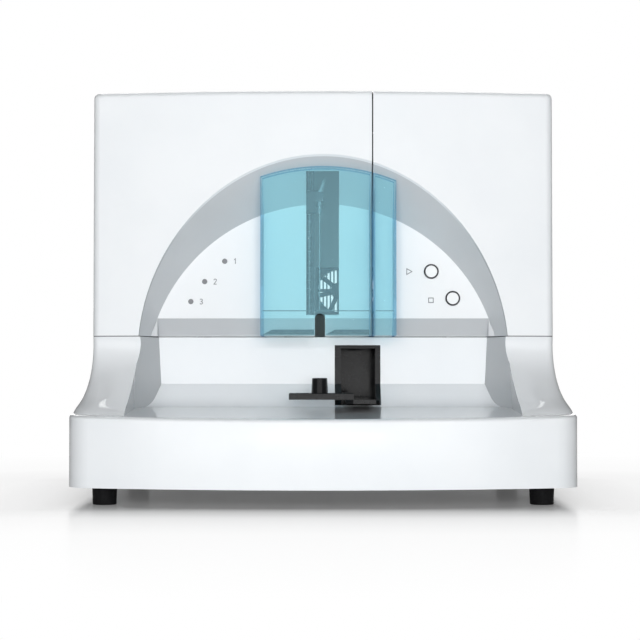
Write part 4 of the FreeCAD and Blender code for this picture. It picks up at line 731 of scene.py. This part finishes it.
def add_light(name, place, aim, size, strength, in_gloss):
    """A rectangular soft light, strength in watts; in_gloss says whether glossy faces mirror it."""
    lamp = bpy.data.lights.new(name, "AREA")
    lamp.shape = "RECTANGLE"
    lamp.size, lamp.size_y = size
    lamp.energy = strength
    holder = bpy.data.objects.new(name, lamp)
    holder.visible_camera = False
    holder.visible_glossy = in_gloss
    holder.location = place
    holder.rotation_euler = (Vector(aim) - Vector(place)).to_track_quat("-Z", "Y").to_euler()
    bpy.context.scene.collection.objects.link(holder)


def add_world(strength):
    """Even light from all round, and plain white where the camera sees past the floor."""
    world = bpy.data.worlds.new("studio")
    bpy.context.scene.world = world
    world.use_nodes = True
    tree = world.node_tree
    light = tree.nodes["Background"]
    light.inputs["Color"].default_value = colour(plain_white)
    light.inputs["Strength"].default_value = strength
    seen = add_node(tree, "ShaderNodeBackground", Color=colour(plain_white), Strength=1.0)
    rays = tree.nodes.new("ShaderNodeLightPath")
    mix = tree.nodes.new("ShaderNodeMixShader")
    tree.links.new(rays.outputs["Is Camera Ray"], mix.inputs["Fac"])
    tree.links.new(light.outputs["Background"], mix.inputs[1])
    tree.links.new(seen.outputs["Background"], mix.inputs[2])
    tree.links.new(mix.outputs["Shader"], tree.nodes["World Output"].inputs["Surface"])


def add_floor():
    """A white floor that keeps the object's shadow near it and is plain white farther out."""
    mesh = bpy.data.meshes.new("floor")
    half = floor_size / 2
    corners = [(-half, -half, 0.0), (half, -half, 0.0), (half, half, 0.0), (-half, half, 0.0)]
    mesh.from_pydata(corners, [], [(0, 1, 2, 3)])
    floor = bpy.data.objects.new("floor", mesh)
    bpy.context.scene.collection.objects.link(floor)
    finish = Finish("floor_paint", Roughness=0.22, Specular_IOR_Level=0.5)
    finish.paint(floor_white, floor_shade, scale=2.0)
    white = finish.add("ShaderNodeEmission", Color=colour(plain_white), Strength=1.0)
    rays = finish.add("ShaderNodeLightPath")
    share = finish.add("ShaderNodeMath", {"operation": "MULTIPLY"})
    finish.link(floor_clearing(finish), share.inputs[0])
    finish.link(rays.outputs["Is Camera Ray"], share.inputs[1])
    mix = finish.add("ShaderNodeMixShader")
    finish.link(share.outputs["Value"], mix.inputs["Fac"])
    finish.link(finish.shader.outputs["BSDF"], mix.inputs[1])
    finish.link(white.outputs["Emission"], mix.inputs[2])
    finish.link(mix.outputs["Shader"], finish.tree.nodes["Material Output"].inputs["Surface"])
    mesh.materials.append(finish.material)


def floor_clearing(finish):
    """The share of plain white: least under the object, rising to 1 away from its outline."""
    low, high = cad_box
    half = Vector(((high.x - low.x) / 2, (high.y - low.y) / 2, 0.0))
    size = finish.add("ShaderNodeVectorMath", {"operation": "ABSOLUTE"})
    finish.link(finish.place, size.inputs[0])
    outside = finish.add("ShaderNodeVectorMath", {"operation": "SUBTRACT"})
    finish.link(size.outputs["Vector"], outside.inputs[0])
    outside.inputs[1].default_value = half
    ahead = finish.add("ShaderNodeVectorMath", {"operation": "MAXIMUM"})
    finish.link(outside.outputs["Vector"], ahead.inputs[0])
    distance = finish.add("ShaderNodeVectorMath", {"operation": "LENGTH"})
    finish.link(ahead.outputs["Vector"], distance.inputs[0])
    ramp = finish.add("ShaderNodeValToRGB")
    finish.link(distance.outputs["Value"], ramp.inputs["Fac"])
    stops = ramp.color_ramp.elements
    for stop, (place, share) in zip(stops, (floor_shares[0], floor_shares[-1])):
        stop.position = place
        stop.color = colour([share] * 3)
    for place, share in floor_shares[1:-1]:
        stops.new(place).color = colour([share] * 3)
    return ramp.outputs["Color"]


def add_camera():
    """The camera at the photo's angle."""
    camera = bpy.data.cameras.new("camera")
    camera.lens = camera_lens
    camera.sensor_width = camera_sensor
    holder = bpy.data.objects.new("camera", camera)
    holder.location = camera_place
    holder.rotation_euler = Euler((math.radians(level_look + camera_tilt), 0.0, 0.0))
    bpy.context.scene.collection.objects.link(holder)
    bpy.context.scene.camera = holder


bpy.context.scene.view_settings.view_transform = "Standard"
add_camera()
add_world(world_strength)
for light in studio_lights:
    add_light(*light)
add_floor()
